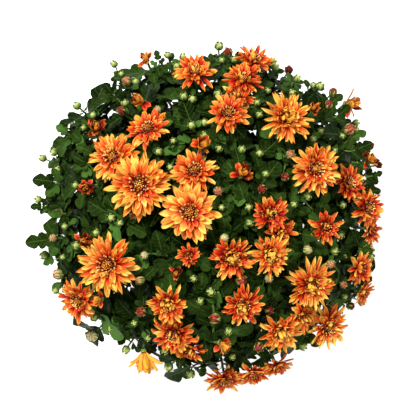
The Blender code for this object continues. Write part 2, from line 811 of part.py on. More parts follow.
class Stem:
    """One stem with all that grows on it: the branches' paths and the solids that make it up."""

    def __init__(self, aim, foot):
        self.aim = aim
        axis = main_axis(aim, foot)
        bm = bmesh.new()
        tube(bm, axis, [STEM_RADIUS] * (len(axis) - 1) + [0.7 * STEM_RADIUS], 6)
        self.branches = [axis[1:]]
        self.pieces = [piece_of(bm)]

    def add(self, path, piece):
        self.branches.append(path)
        self.pieces.append(piece)


def attach(stems, heads, seat, facing, rule, shape, skipped=None):
    """Grows a stalk to a seat from the nearest stem that has a clear way there. Says whether one had."""
    back, spans, shortest = rule
    solids = [solid for name, solid in heads.items() if name != skipped]
    for stem in sorted(stems, key=lambda stem: math.dist((seat.x, seat.y), stem.aim)):
        others = solids + [piece for other in stems if other is not stem for piece in other.pieces]
        for path in stalk_paths(stem.branches, seat, facing, back, spans, shortest):
            piece = shape(path)
            if is_clear(piece, others):
                stem.add(path, piece)
                return True
    return False


def neck_piece(head):
    """The room that the top of a bloom's stalk takes up behind it."""
    place, facing = head_place(head)
    bm = bmesh.new()
    tube(bm, [place - facing * NECK_ROOM, place - facing * SEAT_GAP], [1.4 * STALK_RADIUS] * 2, 4)
    return piece_of(bm)


def build_heads():
    """Every bloom, the highest first, so that the lower ones bend clear. Returns their solids by name."""
    named = [(f"bloom_{i + 1:02d}", head, form_of(head)) for i, head in enumerate(BLOOMS)]
    named += [(f"opening_bloom_{i + 1:02d}", head, CUPPED) for i, head in enumerate(OPENING)]
    necks = {name: neck_piece(head) for name, head, form in named}
    solids = {}
    for name, head, form in sorted(named, key=lambda item: -item[1].lift):
        beside = [neck for other, neck in necks.items() if other != name]
        solids[name] = head_piece(head, form, list(solids.values()) + beside)
    for name, head, form in named:
        object_of(solids[name], name, PETAL_DEEP if form is CUPPED else PETAL)
    return named, solids


def grow_stalks(stems, named, solids):
    """A stalk with its cup for each bloom, the widest first."""
    for name, head, form in sorted(named, key=lambda item: -item[1].width):
        place, facing = head_place(head)
        grown = attach(
            stems, solids, place - facing * CUP_DEPTH, facing, STALK_RULE,
            lambda path: stalk_piece(head, form, path), name,
        )
        if not grown:
            raise RuntimeError(f"no clear way for the stalk of {name}")


def grow_buds(stems, solids):
    for bud in BUDS:
        seat, facing = bud_place(bud)
        grown = attach(
            stems, solids, seat, facing, BUD_RULE, lambda path: bud_piece(bud, facing, path),
        )
        if not grown:
            print("no clear way for the bud at", bud.x, bud.y)


def shoot_piece(path):
    bm = bmesh.new()
    tube(bm, path, [PEDICEL_RADIUS] + [1.3 * PEDICEL_RADIUS] * (len(path) - 1), 3)
    return piece_of(bm)


def grow_skirt(stems, solids):
    for seat, facing in skirt_places():
        attach(stems, solids, seat, facing, SHOOT_RULE, shoot_piece)


def main():
    clear_scene()
    plan = stem_plan()
    build_pot()
    build_soil([foot for aim, foot in plan])
    named, solids = build_heads()
    stems = [Stem(aim, foot) for aim, foot in plan]
    grow_stalks(stems, named, solids)
    grow_buds(stems, solids)
    grow_skirt(stems, solids)

    chance = random.Random(11)
    seats = [(head_place(head)[0], head.width / 2) for name, head, form in named]
    leaves = []
    for stem in stems:
        others = list(solids.values())
        others += [piece for other in stems if other is not stem for piece in other.pieces]
        grown = grow_leaves(stem, others, seats, leaves, chance)
        stem.pieces += grown
        leaves += grown

    for number, stem in enumerate(stems):
        name = f"leafy_stem_{number + 1:02d}"
        axis = object_of(stem.pieces[0], name, LEAF)
        rest = [object_of(piece, f"{name}_piece", LEAF) for piece in stem.pieces[1:]]
        boolean(axis, "UNION", rest, "MANIFOLD")


main()
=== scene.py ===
"""Looks of the pot chrysanthemum: fine blooms, lobed leaves, buds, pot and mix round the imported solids.

Metres, +Z up, in the row frame. The camera looks straight down on the plant, as in the photograph.
The stems, stalks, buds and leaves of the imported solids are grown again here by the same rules, so that
each fine leaf and bud stands where its solid does. More twigs, buds and leaves are then grown between them.
"""

import json
import logging
import math
import random
from dataclasses import dataclass, field
from enum import Enum
from functools import cache
from typing import Callable, Iterator, Optional, Sequence

import bmesh
import bpy
import numpy as np
from mathutils import Matrix, Vector
from mathutils.bvhtree import BVHTree

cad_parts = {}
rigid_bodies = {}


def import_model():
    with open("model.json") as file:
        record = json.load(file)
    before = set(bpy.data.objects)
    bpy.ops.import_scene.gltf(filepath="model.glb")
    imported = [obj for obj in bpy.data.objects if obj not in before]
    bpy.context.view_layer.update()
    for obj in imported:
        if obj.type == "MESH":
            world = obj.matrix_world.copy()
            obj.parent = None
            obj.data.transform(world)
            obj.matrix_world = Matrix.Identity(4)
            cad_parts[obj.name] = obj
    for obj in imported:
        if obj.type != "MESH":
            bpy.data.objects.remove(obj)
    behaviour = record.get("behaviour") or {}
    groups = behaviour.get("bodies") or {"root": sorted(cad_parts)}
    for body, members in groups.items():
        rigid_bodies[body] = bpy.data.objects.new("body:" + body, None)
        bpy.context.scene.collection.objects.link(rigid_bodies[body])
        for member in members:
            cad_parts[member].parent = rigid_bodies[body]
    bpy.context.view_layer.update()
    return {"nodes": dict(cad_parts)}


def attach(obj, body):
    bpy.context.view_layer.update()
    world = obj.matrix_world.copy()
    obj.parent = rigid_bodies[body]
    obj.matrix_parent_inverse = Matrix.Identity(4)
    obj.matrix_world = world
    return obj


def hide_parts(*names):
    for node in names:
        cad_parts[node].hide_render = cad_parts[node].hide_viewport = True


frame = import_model()
LOG = logging.getLogger("chrysanthemum")

GOLDEN_TURN = math.pi * (3 - math.sqrt(5))
FULL_TURN = 2 * math.pi
UP = Vector((0, 0, 1))
# Corners closer than this are welded, in metres or in shares of a shape
WELD = 1e-5


# Materials

Colour = tuple[float, float, float, float]
Socket = bpy.types.NodeSocket
# Past this, the UV map's first number says that a face is on a blade's underside
UNDERSIDE_FROM = 1.0001
BUMP_STRENGTH = 0.35
BUMP_DISTANCE = 0.0006


def linear(code: str) -> Colour:
    """Turns an sRGB hex colour to linear.

    Args:
        code: the colour as #RRGGBB.

    Returns:
        Linear red, green and blue, and full opacity.
    """
    parts = [int(code[i:i + 2], 16) / 255 for i in (1, 3, 5)]
    values = [part / 12.92 if part <= 0.04045 else ((part + 0.055) / 1.055) ** 2.4 for part in parts]
    return (*values, 1.0)


def add_node(tree: bpy.types.NodeTree, kind: str, settings: Optional[dict] = None,
             inputs: Optional[dict] = None, stops: Sequence[tuple[float, str]] = ()) -> bpy.types.Node:
    """Adds a node with its settings and links.

    Args:
        tree: the node tree that it goes into.
        kind: the node's type name after ShaderNode.
        settings: values by the name of a property.
        inputs: a number, a hex colour or a socket, by the name or number of the input.
        stops: places and hex colours of a colour ramp.

    Returns:
        The new node.
    """
    node = tree.nodes.new(f"ShaderNode{kind}")
    for name, value in (settings or {}).items():
        setattr(node, name, value)
    for name, value in (inputs or {}).items():
        if isinstance(value, Socket):
            tree.links.new(value, node.inputs[name])
        else:
            node.inputs[name].default_value = linear(value) if isinstance(value, str) else value
    for number, (place, code) in enumerate(stops):
        elements = node.color_ramp.elements
        stop = elements[number] if number < 2 else elements.new(place)
        stop.position = place
        stop.color = linear(code)
    return node


class Brush:
    """Paints a material's pattern into its node tree, with a short method for each step."""

    def __init__(self, tree: bpy.types.NodeTree) -> None:
        """Takes the tree."""
        self.tree = tree

    def tint(self) -> Socket:
        """The number that each copy of a shape carries, from 0 to 1."""
        return add_node(self.tree, "Attribute", {"attribute_name": "tint"}).outputs["Fac"]

    def where(self) -> Socket:
        """The object's own coordinates, in metres."""
        return add_node(self.tree, "TexCoord").outputs["Object"]

    def parts(self, vector: Socket) -> Sequence[Socket]:
        """The X, Y and Z of a vector."""
        return add_node(self.tree, "SeparateXYZ", inputs={0: vector}).outputs[:]

    def across_along(self) -> Sequence[Socket]:
        """The two numbers of the UV map: across a blade, past 1 on its underside, and along it."""
        return self.parts(add_node(self.tree, "UVMap", {"uv_map": "UVMap"}).outputs["UV"])[:2]

    def step(self, operation: str, *items: Socket | float) -> Socket:
        """One step of arithmetic on sockets and numbers."""
        return add_node(self.tree, "Math", {"operation": operation}, dict(enumerate(items))).outputs[0]

    def off_middle(self, item: Socket) -> Socket:
        """How far the fraction of a number is from a half."""
        return self.step("ABSOLUTE", self.step("SUBTRACT", self.step("FRACT", item), 0.5))

    def stirred(self, item: Socket, noise: Socket, strength: float) -> Socket:
        """A number that noise moves up and down."""
        return self.step("MULTIPLY_ADD", self.step("SUBTRACT", noise, 0.5), strength, item)

    def noise(self, scale: float, detail: float, place: Optional[Socket] = None) -> Socket:
        """Noise from 0 to 1, about so many lumps to a unit of its place."""
        inputs = {"Scale": scale, "Detail": detail, "Vector": self.where() if place is None else place}
        return add_node(self.tree, "TexNoise", inputs=inputs).outputs["Fac"]

    def ramp(self, share: Socket, *stops: tuple[float, str]) -> Socket:
        """The colour at a share of a run of colours."""
        return add_node(self.tree, "ValToRGB", inputs={"Fac": share}, stops=stops).outputs["Color"]

    def mixed(self, share: Socket | float, first: Socket | str, second: Socket | str) -> Socket:
        """A colour between two, each of them a socket or a hex colour."""
        return add_node(self.tree, "Mix", {"data_type": "RGBA"}, {0: share, 6: first, 7: second}).outputs[2]


@dataclass(frozen=True)
class Finish:
    """What every finish has: a name, a roughness, and a tree that ends in a Principled shader."""

    name: str
    roughness: float = 0.5
    specular: float = 0.5
    gloss: str = "#FFFFFF"

    def dress(self, brush: Brush) -> tuple[Socket, Socket]:
        """Paints the pattern.

        Args:
            brush: what paints it.

        Returns:
            The sockets of the colour and of the height for the bump.
        """
        raise NotImplementedError

    @cache
    def make(self) -> bpy.types.Material:
        """Makes the material, once.

        Returns:
            The material.
        """
        made = bpy.data.materials.new(self.name)
        made.use_nodes = True
        tree = made.node_tree
        shader = tree.nodes["Principled BSDF"]
        shader.inputs["Roughness"].default_value = self.roughness
        shader.inputs["Specular IOR Level"].default_value = self.specular
        shader.inputs["Specular Tint"].default_value = linear(self.gloss)
        colour, height = self.dress(Brush(tree))
        bump = add_node(
            tree, "Bump", inputs={"Strength": BUMP_STRENGTH, "Distance": BUMP_DISTANCE, "Height": height}
        )
        tree.links.new(colour, shader.inputs["Base Color"])
        tree.links.new(bump.outputs["Normal"], shader.inputs["Normal"])
        return made


@dataclass(frozen=True)
class RayFloret(Finish):
    """A mum's petal, soft and matt. Red at its base, orange along it and golden at its tip and edges."""

    stops: tuple = (
        (0.0, "#640402"), (0.20, "#AA1004"), (0.36, "#CC2A0A"), (0.52, "#E85820"), (0.68, "#F48436"),
        (0.82, "#FAA440"), (0.92, "#FEBE4A"), (1.0, "#FFD668"),
    )
    reverse: str = "#FFC84A"
    reverse_share: float = 0.70
    veins_across: float = 7.0
    veins_along: float = 1.1
    veins_by_tint: float = 37.0
    vein_strength: float = 0.66
    gold_at_edge: float = 1.05
    gold_by_tint: float = 0.85
    gold_least: float = -0.51

    def dress(self, brush: Brush) -> tuple[Socket, Socket]:
        """Ramp along the petal, lighter edges, and fine veins that run lengthwise.

        Args:
            brush: what paints it.

        Returns:
            The sockets of the colour and of the height for the bump.
        """
        step = brush.step
        across, along = brush.across_along()
        tint = brush.tint()
        place = add_node(brush.tree, "CombineXYZ", inputs={
            0: step("MULTIPLY", across, self.veins_across),
            1: step("MULTIPLY", along, self.veins_along),
            2: step("MULTIPLY", tint, self.veins_by_tint),
        }).outputs[0]
        veins = brush.noise(1.0, 2.0, place)
        shifted = step("ADD", along, step("MULTIPLY_ADD", tint, self.gold_by_tint, self.gold_least))
        edge = step("MULTIPLY", step("POWER", brush.off_middle(across), 2.0), self.gold_at_edge)
        share = brush.stirred(step("ADD", shifted, edge), veins, self.vein_strength)
        streaks = step("MULTIPLY_ADD", veins, 1.8, step("MULTIPLY_ADD", tint, 1.2, -0.85))
        under = step("GREATER_THAN", across, UNDERSIDE_FROM)
        golden = step("MULTIPLY", under, step("MULTIPLY", streaks, self.reverse_share))
        return brush.mixed(golden, brush.ramp(share, *self.stops), self.reverse), veins


@dataclass(frozen=True)
class CrownLeaf(Finish):
    """A mum's leaf: leathery, dark green, with paler sunken veins and a grey-green downy underside."""

    darkest_with_painted_shade: str = "#0D1C04"
    middling: str = "#2A4112"
    palest: str = "#4E7630"
    vein: str = "#66843C"
    underside: str = "#42621F"
    blotches: float = 160.0
    vein_pairs: float = 7.0
    vein_slant: float = -2.6
    side_vein_half: float = 0.07
    rib_half: float = 0.028

    def dress(self, brush: Brush) -> tuple[Socket, Socket]:
        """Greens by leaf, blotches of about 6 mm, a midrib and seven pairs of side veins; the leaf's tint
        also carries painted shade deep in the crown and painted light on the left rim.

        Args:
            brush: what paints it.

        Returns:
            The sockets of the colour and of the height for the bump.
        """
        step = brush.step
        across, along = brush.across_along()
        off_middle = brush.off_middle(across)
        blotch = brush.noise(self.blotches, 3.0)
        share = brush.stirred(brush.tint(), blotch, 0.7)
        # The tint picks the green: its dark end is also the painted shade of deep leaves, its pale end also
        # the painted light on the left rim.
        green = brush.ramp(share, (0.05, self.darkest_with_painted_shade), (0.55, self.middling), (1.0, self.palest))
        slant = step("MULTIPLY_ADD", off_middle, self.vein_slant, step("MULTIPLY", along, self.vein_pairs))
        side_vein = step("LESS_THAN", brush.off_middle(slant), self.side_vein_half)
        rib = step("LESS_THAN", off_middle, self.rib_half)
        veins = step("MAXIMUM", rib, step("MULTIPLY", side_vein, 0.45))
        veined = brush.mixed(step("MULTIPLY", veins, 0.40), green, self.vein)
        under = step("GREATER_THAN", across, UNDERSIDE_FROM)
        turned = brush.mixed(step("MULTIPLY", under, 0.5), veined, self.underside)
        return turned, step("MULTIPLY_ADD", veins, -1.0, blotch)


@dataclass(frozen=True)
class GreenStalk(Finish):
    """A soft ribbed stem: green above, and brown and corky near the potting mix."""

    young: str = "#4C6B2A"
    fresh: str = "#6F8F3F"
    old: str = "#4A3B24"
    old_below: float = 0.150
    green_above: float = 0.185

    def dress(self, brush: Brush) -> tuple[Socket, Socket]:
        """Green with streaks, brown below a height of about 165 mm.

        Args:
            brush: what paints it.

        Returns:
            The sockets of the colour and of the height for the bump.
        """
        where = brush.where()
        grain = brush.noise(420.0, 2.0, where)
        green = brush.ramp(grain, (0.3, self.young), (0.75, self.fresh))
        age = add_node(brush.tree, "MapRange", inputs={
            "Value": brush.parts(where)[2], "From Min": self.old_below, "From Max": self.green_above,
        }).outputs[0]
        return brush.mixed(age, self.old, green), grain


@dataclass(frozen=True)
class BudScale(Finish):
    """The scales round a bud: pale yellow-green with thin darker ribs and papery tips."""

    root: str = "#2F4A18"
    middle: str = "#7C9A42"
    tip: str = "#DCE48C"

    def dress(self, brush: Brush) -> tuple[Socket, Socket]:
        """Darker at the root of each scale, pale at its tip."""
        grain = brush.noise(700.0, 1.0)
        share = brush.stirred(brush.across_along()[1], grain, 0.4)
        return brush.ramp(share, (0.20, self.root), (0.66, self.middle), (1.0, self.tip)), grain


@dataclass(frozen=True)
class BudPetals(Finish):
    """Folded petals at the top of a bud. Each bud's own number picks dark red, red, orange, pink or cream."""

    stops: tuple = (
        (0.0, "#3A0A0A"), (0.2, "#84241C"), (0.4, "#B04A30"), (0.6, "#C07450"), (0.8, "#D2AE7C"),
        (1.0, "#DADFA0"),
    )

    def dress(self, brush: Brush) -> tuple[Socket, Socket]:
        """One colour for each bud, with a darker and a paler side.

        Args:
            brush: what paints it.

        Returns:
            The sockets of the colour and of the height for the bump.
        """
        ridge = brush.across_along()[0]
        grain = brush.noise(520.0, 2.0)
        share = brush.stirred(brush.stirred(brush.tint(), grain, 0.80), ridge, 0.42)
        return brush.ramp(share, *self.stops), brush.step("MULTIPLY_ADD", ridge, 1.5, grain)


@dataclass(frozen=True)
class MouldedPlastic(Finish):
    """Injection-moulded polypropylene: a faintly clouded colour, a fine even grain and a soft low gloss."""

    body: str = "#7E4630"
    worn: str = "#86503A"

    def dress(self, brush: Brush) -> tuple[Socket, Socket]:
        """A faint cloud over the colour and a grain of about 1 mm."""
        colour = brush.ramp(brush.noise(22.0, 4.0), (0.35, self.body), (0.8, self.worn))
        return colour, brush.noise(900.0, 1.0)


@dataclass(frozen=True)
class PottingMix(Finish):
    """Damp peat and bark: very dark, rough, with paler bits of bark and a few white grains of perlite."""

    peat: tuple = ((0.3, "#120C08"), (0.75, "#3A281B"))
    bits: tuple = (
        (0.0, "#1C130D"), (0.55, "#3B2918"), (0.90, "#5E432A"), (0.93, "#6B5138"), (0.97, "#D9D5C8")
    )
    bits_share: float = 0.6

    def dress(self, brush: Brush) -> tuple[Socket, Socket]:
        """Peat in clumps of about 3 mm. Each loose bit's own number picks peat, bark or perlite."""
        clump = brush.noise(330.0, 5.0)
        peat, bits = brush.ramp(clump, *self.peat), brush.ramp(brush.tint(), *self.bits)
        return brush.mixed(self.bits_share, peat, bits), clump


class Skin(Enum):
    """What a face is made of."""

    PETAL = "petal"
    DEEP_PETAL = "deep petal"
    QUILL = "quill"
    FLORET = "floret"
    LEAF = "leaf"
    STALK = "stalk"
    SCALE = "scale"
    BUD = "bud"
    PLASTIC = "plastic"
    MIX = "mix"


# Quills: dark red with golden tips, which are real; the pale cream at the very end of each tip is a painted
# highlight.
QUILL_STOPS = (
    (0.0, "#5A0404"), (0.40, "#9A0E04"), (0.54, "#C0300A"), (0.62, "#F8A428"), (0.74, "#FFD45A"),
    (1.0, "#FFF2A4"),
)
FLORET_STOPS = (
    (0.0, "#5C0603"), (0.35, "#AC1C06"), (0.60, "#DC4A0C"), (0.78, "#F28A1E"), (0.90, "#FFBC3A"),
    (1.0, "#FFDC6C"),
)
# The inner sides of a cup's petals: painted shade, near black at the base and lightening to orange at the
# tip, for the shaded inside of a half-open cup.
CUP_INSIDE_SHADE_STOPS = (
    (0.0, "#2E0504"), (0.30, "#540C06"), (0.55, "#7C180A"), (0.76, "#B03E10"), (0.90, "#DA7422"),
    (1.0, "#F2A23A"),
)
FINISHES: dict[Skin, Finish] = {
    Skin.PETAL: RayFloret("ray_floret_orange", 0.55, 0.18),
    # Cup petals: painted shade on their inner sides, a golden outer side.
    Skin.DEEP_PETAL: RayFloret(
        "ray_floret_painted_cup_shade", 0.55, 0.18, stops=CUP_INSIDE_SHADE_STOPS, reverse="#FFB43A", reverse_share=0.80
    ),
    Skin.QUILL: RayFloret("quilled_floret_red_gold", 0.55, 0.12, stops=QUILL_STOPS, reverse="#9A1A08"),
    Skin.FLORET: RayFloret("disc_floret_gold", 0.6, 0.12, stops=FLORET_STOPS, reverse="#B83A0C"),
    Skin.LEAF: CrownLeaf("leaf_dark_green", 0.50, 0.06, "#C8E0A0"),
    Skin.STALK: GreenStalk("stem_green_to_corky", 0.6, 0.3),
    Skin.SCALE: BudScale("bud_scale_yellow_green", 0.55, 0.2),
    Skin.BUD: BudPetals("folded_bud_petals", 0.55, 0.2),
    Skin.PLASTIC: MouldedPlastic("moulded_polypropylene", 0.42, 0.4),
    Skin.MIX: PottingMix("peat_and_bark_mix", 0.95, 0.15),
}


# Small helpers for meshes, places and directions

def placed(name: str, data: bpy.types.ID) -> bpy.types.Object:
    """A new object in the scene."""
    made = bpy.data.objects.new(name, data)
    bpy.context.scene.collection.objects.link(made)
    return made


def as_mesh(name: str, bm: bmesh.types.BMesh) -> bpy.types.Mesh:
    """Turns a bmesh into a mesh, and frees it.

    Args:
        name: the mesh's name.
        bm: the bmesh.

    Returns:
        The mesh.
    """
    mesh = bpy.data.meshes.new(name)
    bm.to_mesh(mesh)
    bm.free()
    return mesh


def set_uv(bm: bmesh.types.BMesh, place: Callable[[bmesh.types.BMVert], tuple[float, float]]) -> None:
    """Gives every face's corners the UVs that a rule finds from their vertices."""
    layer = bm.loops.layers.uv.verify()
    for face in bm.faces:
        for loop in face.loops:
            loop[layer].uv = place(loop.vert)


def spun(outline: Sequence[tuple[float, float]], steps: int) -> bmesh.types.BMesh:
    """Spins an outline that starts and ends on the axis into a closed form.

    Args:
        outline: its (radius, height) points.
        steps: how many steps the turn has.

    Returns:
        The form.
    """
    bm = bmesh.new()
    corners = [bm.verts.new((radius, 0, height)) for radius, height in outline]
    edges = [bm.edges.new(pair) for pair in zip(corners, corners[1:])]
    bmesh.ops.spin(
        bm, geom=corners + edges, axis=UP, cent=(0, 0, 0), angle=FULL_TURN, steps=steps, use_merge=True
    )
    bmesh.ops.remove_doubles(bm, verts=bm.verts[:], dist=WELD)
    bmesh.ops.recalc_face_normals(bm, faces=bm.faces[:])
    return bm


def on_circle(radius: float, share: float) -> tuple[float, float]:
    """A point on a circle, at a share of its full turn."""
    return radius * math.cos(FULL_TURN * share), radius * math.sin(FULL_TURN * share)


def petal_ways(azimuth: float, rise: float) -> tuple[Vector, Vector, Vector]:
    """The directions outward, sideways and along a petal, at an azimuth round +Z and a rise, in radians."""
    out = Vector((math.cos(azimuth), math.sin(azimuth), 0))
    aside = Vector((-math.sin(azimuth), math.cos(azimuth), 0))
    return out, aside, out * math.cos(rise) + UP * math.sin(rise)


def facing_matrix(place: Vector, facing: Vector) -> Matrix:
    """The matrix that puts something at a place with its +Z turned a given way."""
    return Matrix.Translation(place) @ facing.to_track_quat("Z", "Y").to_matrix().to_4x4()


def wander(chance: random.Random, most: float) -> Vector:
    """A random vector with each part up to a given size."""
    return Vector([chance.uniform(-most, most) for _ in range(3)])


def standing(root: Vector, way: Vector, normal: Vector, length: float, half: float) -> Matrix:
    """The matrix that stands a blade up.

    Args:
        root: where it grows from.
        way: the direction of its length.
        normal: about the direction that its upper side faces.
        length: its length.
        half: what its half width of 1 is.

    Returns:
        The matrix.
    """
    way = way.normalized()
    aside = normal.cross(way).normalized()
    up = way.cross(aside)
    turned = Matrix((way * length, aside * half, up * length)).transposed().to_4x4()
    return Matrix.Translation(root) @ turned


# Shapes that are laid many times

@dataclass
class Shape:
    """A small mesh: its points, its faces, the UVs of their corners, and what each face is made of."""

    points: np.ndarray
    faces: list[tuple[int, ...]]
    uvs: list[tuple[float, float]]
    skins: list[Skin]

    @classmethod
    def taken(cls, bm: bmesh.types.BMesh, skin: Skin) -> "Shape":
        """Takes a bmesh's mesh and frees it.

        Args:
            bm: the bmesh.
            skin: what all its faces are made of.

        Returns:
            The shape.
        """
        bm.verts.index_update()
        layer = bm.loops.layers.uv.verify()
        points = np.array([corner.co for corner in bm.verts], float).reshape(-1, 3)
        faces = [tuple(corner.index for corner in face.verts) for face in bm.faces]
        uvs = [tuple(loop[layer].uv) for face in bm.faces for loop in face.loops]
        bm.free()
        return cls(points, faces, uvs, [skin] * len(faces))

    def joined(self, other: "Shape") -> "Shape":
        """The two shapes as one."""
        start = len(self.points)
        return Shape(
            np.vstack([self.points, other.points]),
            self.faces + [tuple(i + start for i in face) for face in other.faces],
            self.uvs + other.uvs, self.skins + other.skins,
        )


# Edges that turn more than this look sharp
SHARP_FROM = math.radians(62)


class Sheaf:
    """Gathers shapes in their places and makes them one piece that stands for a CAD node."""

    def __init__(self) -> None:
        """Starts empty."""
        self.points: list[np.ndarray] = []
        self.faces: list[tuple[int, ...]] = []
        self.uvs: list[tuple[float, float]] = []
        self.skins: list[Skin] = []
        self.tints: list[np.ndarray] = []
        self.count = 0

    def lay(self, shape: Shape, matrix: Matrix, tint: float = 0.5) -> None:
        """Adds one copy of a shape.

        Args:
            shape: the shape.
            matrix: its place.
            tint: the number that its materials vary by, from 0 to 1.
        """
        turn = np.array(matrix.to_3x3())
        self.points.append(shape.points @ turn.T + np.array(matrix.translation))
        start = self.count
        self.faces += [tuple(i + start for i in face) for face in shape.faces]
        self.uvs += shape.uvs
        self.skins += shape.skins
        self.tints.append(np.full(len(shape.points), tint))
        self.count += len(shape.points)

    def piece(self, name: str, node: str, slot: str) -> bpy.types.Object:
        """Makes the piece, which rides on the root body and replaces its CAD node.

        Args:
            name: the piece's name.
            node: the CAD node that it stands for.
            slot: the record's material slot; not used.

        Returns:
            The piece.
        """
        mesh = bpy.data.meshes.new(name)
        mesh.from_pydata(np.vstack(self.points).tolist(), [], self.faces)
        mesh.uv_layers.new(name="UVMap").data.foreach_set("uv", np.array(self.uvs, np.float32).ravel())
        tints = mesh.attributes.new("tint", "FLOAT", "POINT")
        tints.data.foreach_set("value", np.concatenate(self.tints).astype(np.float32))
        order = sorted(set(self.skins), key=lambda skin: skin.value)
        for skin in order:
            mesh.materials.append(FINISHES[skin].make())
        places = {skin: number for number, skin in enumerate(order)}
        mesh.polygons.foreach_set("material_index", [places[skin] for skin in self.skins])
        mesh.polygons.foreach_set("use_smooth", [True] * len(mesh.polygons))
        mesh.set_sharp_from_angle(angle=SHARP_FROM)
        mesh.update()
        made = placed(name, mesh)
        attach(made, "root")
        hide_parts(node)
        LOG.info("%s: %d faces, stands for %s", name, len(self.faces), node)
        return made


# A waved edge's waves, in radians along the blade
WAVES = 9.0
WAVE_START = 1.3


@dataclass(frozen=True)
class Blade:
    """A thin closed blade, thickest along its middle: a petal, leaf, bract or scale, 1 long along +X.

    Each row is its place along, its half width and, on some, how much further its edge lies towards the tip.
    """

    rows: tuple[tuple[float, ...], ...]
    columns: int = 2
    thickness: float = 0.02
    cup: float = 0.0
    bend: float = 0.0
    fold: float = 0.0
    sway: float = 0.0
    wave: float = 0.0

    def place(self, row: int, side: float, under: bool) -> Vector:
        """A point of the blade.

        Args:
            row: which row it is in.
            side: its share aside, from -1 to 1.
            under: whether it is on the underside.

        Returns:
            The point.
        """
        along, half, shift = (*self.rows[row], 0.0)[:3]
        along += shift * side * side
        turn = self.bend * along
        reach = math.sin(turn) / self.bend if self.bend else along
        rise = (1 - math.cos(turn)) / self.bend if self.bend else 0.0
        height = rise + self.cup * side * side + self.fold * abs(side) * half
        height += self.wave * math.sin(WAVES * along + WAVE_START) * side * half
        if under and 0 < row < len(self.rows) - 1:
            height -= self.thickness * (1 - side * side)
        return Vector((reach, side * half + self.sway * along * along, height))

    def shape(self, skin: Skin) -> Shape:
        """Bends two grids to the blade's two sides, welded along its edge.

        Args:
            skin: what it is made of.

        Returns:
            The shape.
        """
        bm = bmesh.new()
        layer = bm.loops.layers.uv.verify()
        spans = len(self.rows) - 1
        for under in (False, True):
            grid = bmesh.ops.create_grid(bm, x_segments=self.columns, y_segments=spans, size=1)["verts"]
            faces = {face for corner in grid for face in corner.link_faces}
            for face in faces:
                for loop in face.loops:
                    along = self.rows[round((loop.vert.co.y + 1) / 2 * spans)][0]
                    loop[layer].uv = ((loop.vert.co.x + 1) / 2 + under, along)
            if under:
                bmesh.ops.reverse_faces(bm, faces=list(faces))
            for corner in grid:
                row = round((corner.co.y + 1) / 2 * spans)
                corner.co = self.place(row, -corner.co.x, under)
        bmesh.ops.remove_doubles(bm, verts=bm.verts[:], dist=WELD)
        return Shape.taken(bm, skin)


PETAL_ROWS = ((0.0, 0.46), (0.24, 0.64), (0.48, 0.88), (0.70, 1.0), (0.86, 0.86), (0.96, 0.48), (1.0, 0.10))
POINTED_ROWS = ((0.0, 0.46), (0.24, 0.68), (0.46, 0.94), (0.63, 1.0), (0.79, 0.78), (0.91, 0.42), (1.0, 0.05))
QUILL_ROWS = ((0.0, 0.55), (0.60, 0.50), (0.84, 1.0), (1.0, 0.45))
LEAF_ROWS = (
    (0.0, 0.013), (0.15, 0.018), (0.21, 0.13, -0.03), (0.30, 0.27, -0.01), (0.39, 0.325, 0.02),
    (0.47, 0.280, 0.04), (0.545, 0.175), (0.63, 0.245, 0.01), (0.73, 0.275, 0.03), (0.82, 0.215, 0.035),
    (0.92, 0.155, 0.02), (1.0, 0.06),
)
BRACT_ROWS = ((0.0, 0.05), (0.22, 0.07), (0.45, 0.22), (0.68, 0.28), (0.88, 0.18), (1.0, 0.03))
SCALE_ROWS = ((0.0, 0.26), (0.45, 0.30), (0.8, 0.17), (1.0, 0.02))
FOLDED_ROWS = ((0.0, 0.20), (0.35, 0.30), (0.65, 0.30), (0.88, 0.20), (1.0, 0.06))
# The petals' outlines, cups, bends and sways, and the bends and sways of those that curl over
PETAL_FORMS = (
    (POINTED_ROWS, 0.070, -0.30, 0.0), (PETAL_ROWS, 0.090, -0.12, 0.60), (POINTED_ROWS, 0.065, 0.20, -0.65),
    (PETAL_ROWS, 0.080, -0.70, 0.35), (PETAL_ROWS, 0.100, 0.0, -0.40), (POINTED_ROWS, 0.115, 0.45, 0.25),
    (POINTED_ROWS, 0.050, -0.50, -0.30), (POINTED_ROWS, 0.090, 0.10, 0.90),
)
INCURVED_FORMS = ((PETAL_ROWS, 0.10, 0.9, 0.2), (PETAL_ROWS, 0.10, 0.7, -0.3), (PETAL_ROWS, 0.10, 1.15, 0.0))
PETAL_THICKNESS = 0.022
LEAF_FORMS = 8
# Ribs round a bud, and how deep the grooves between them are, as a share of its radius
BUD_RIBS = 7
BUD_GROOVE = 0.14


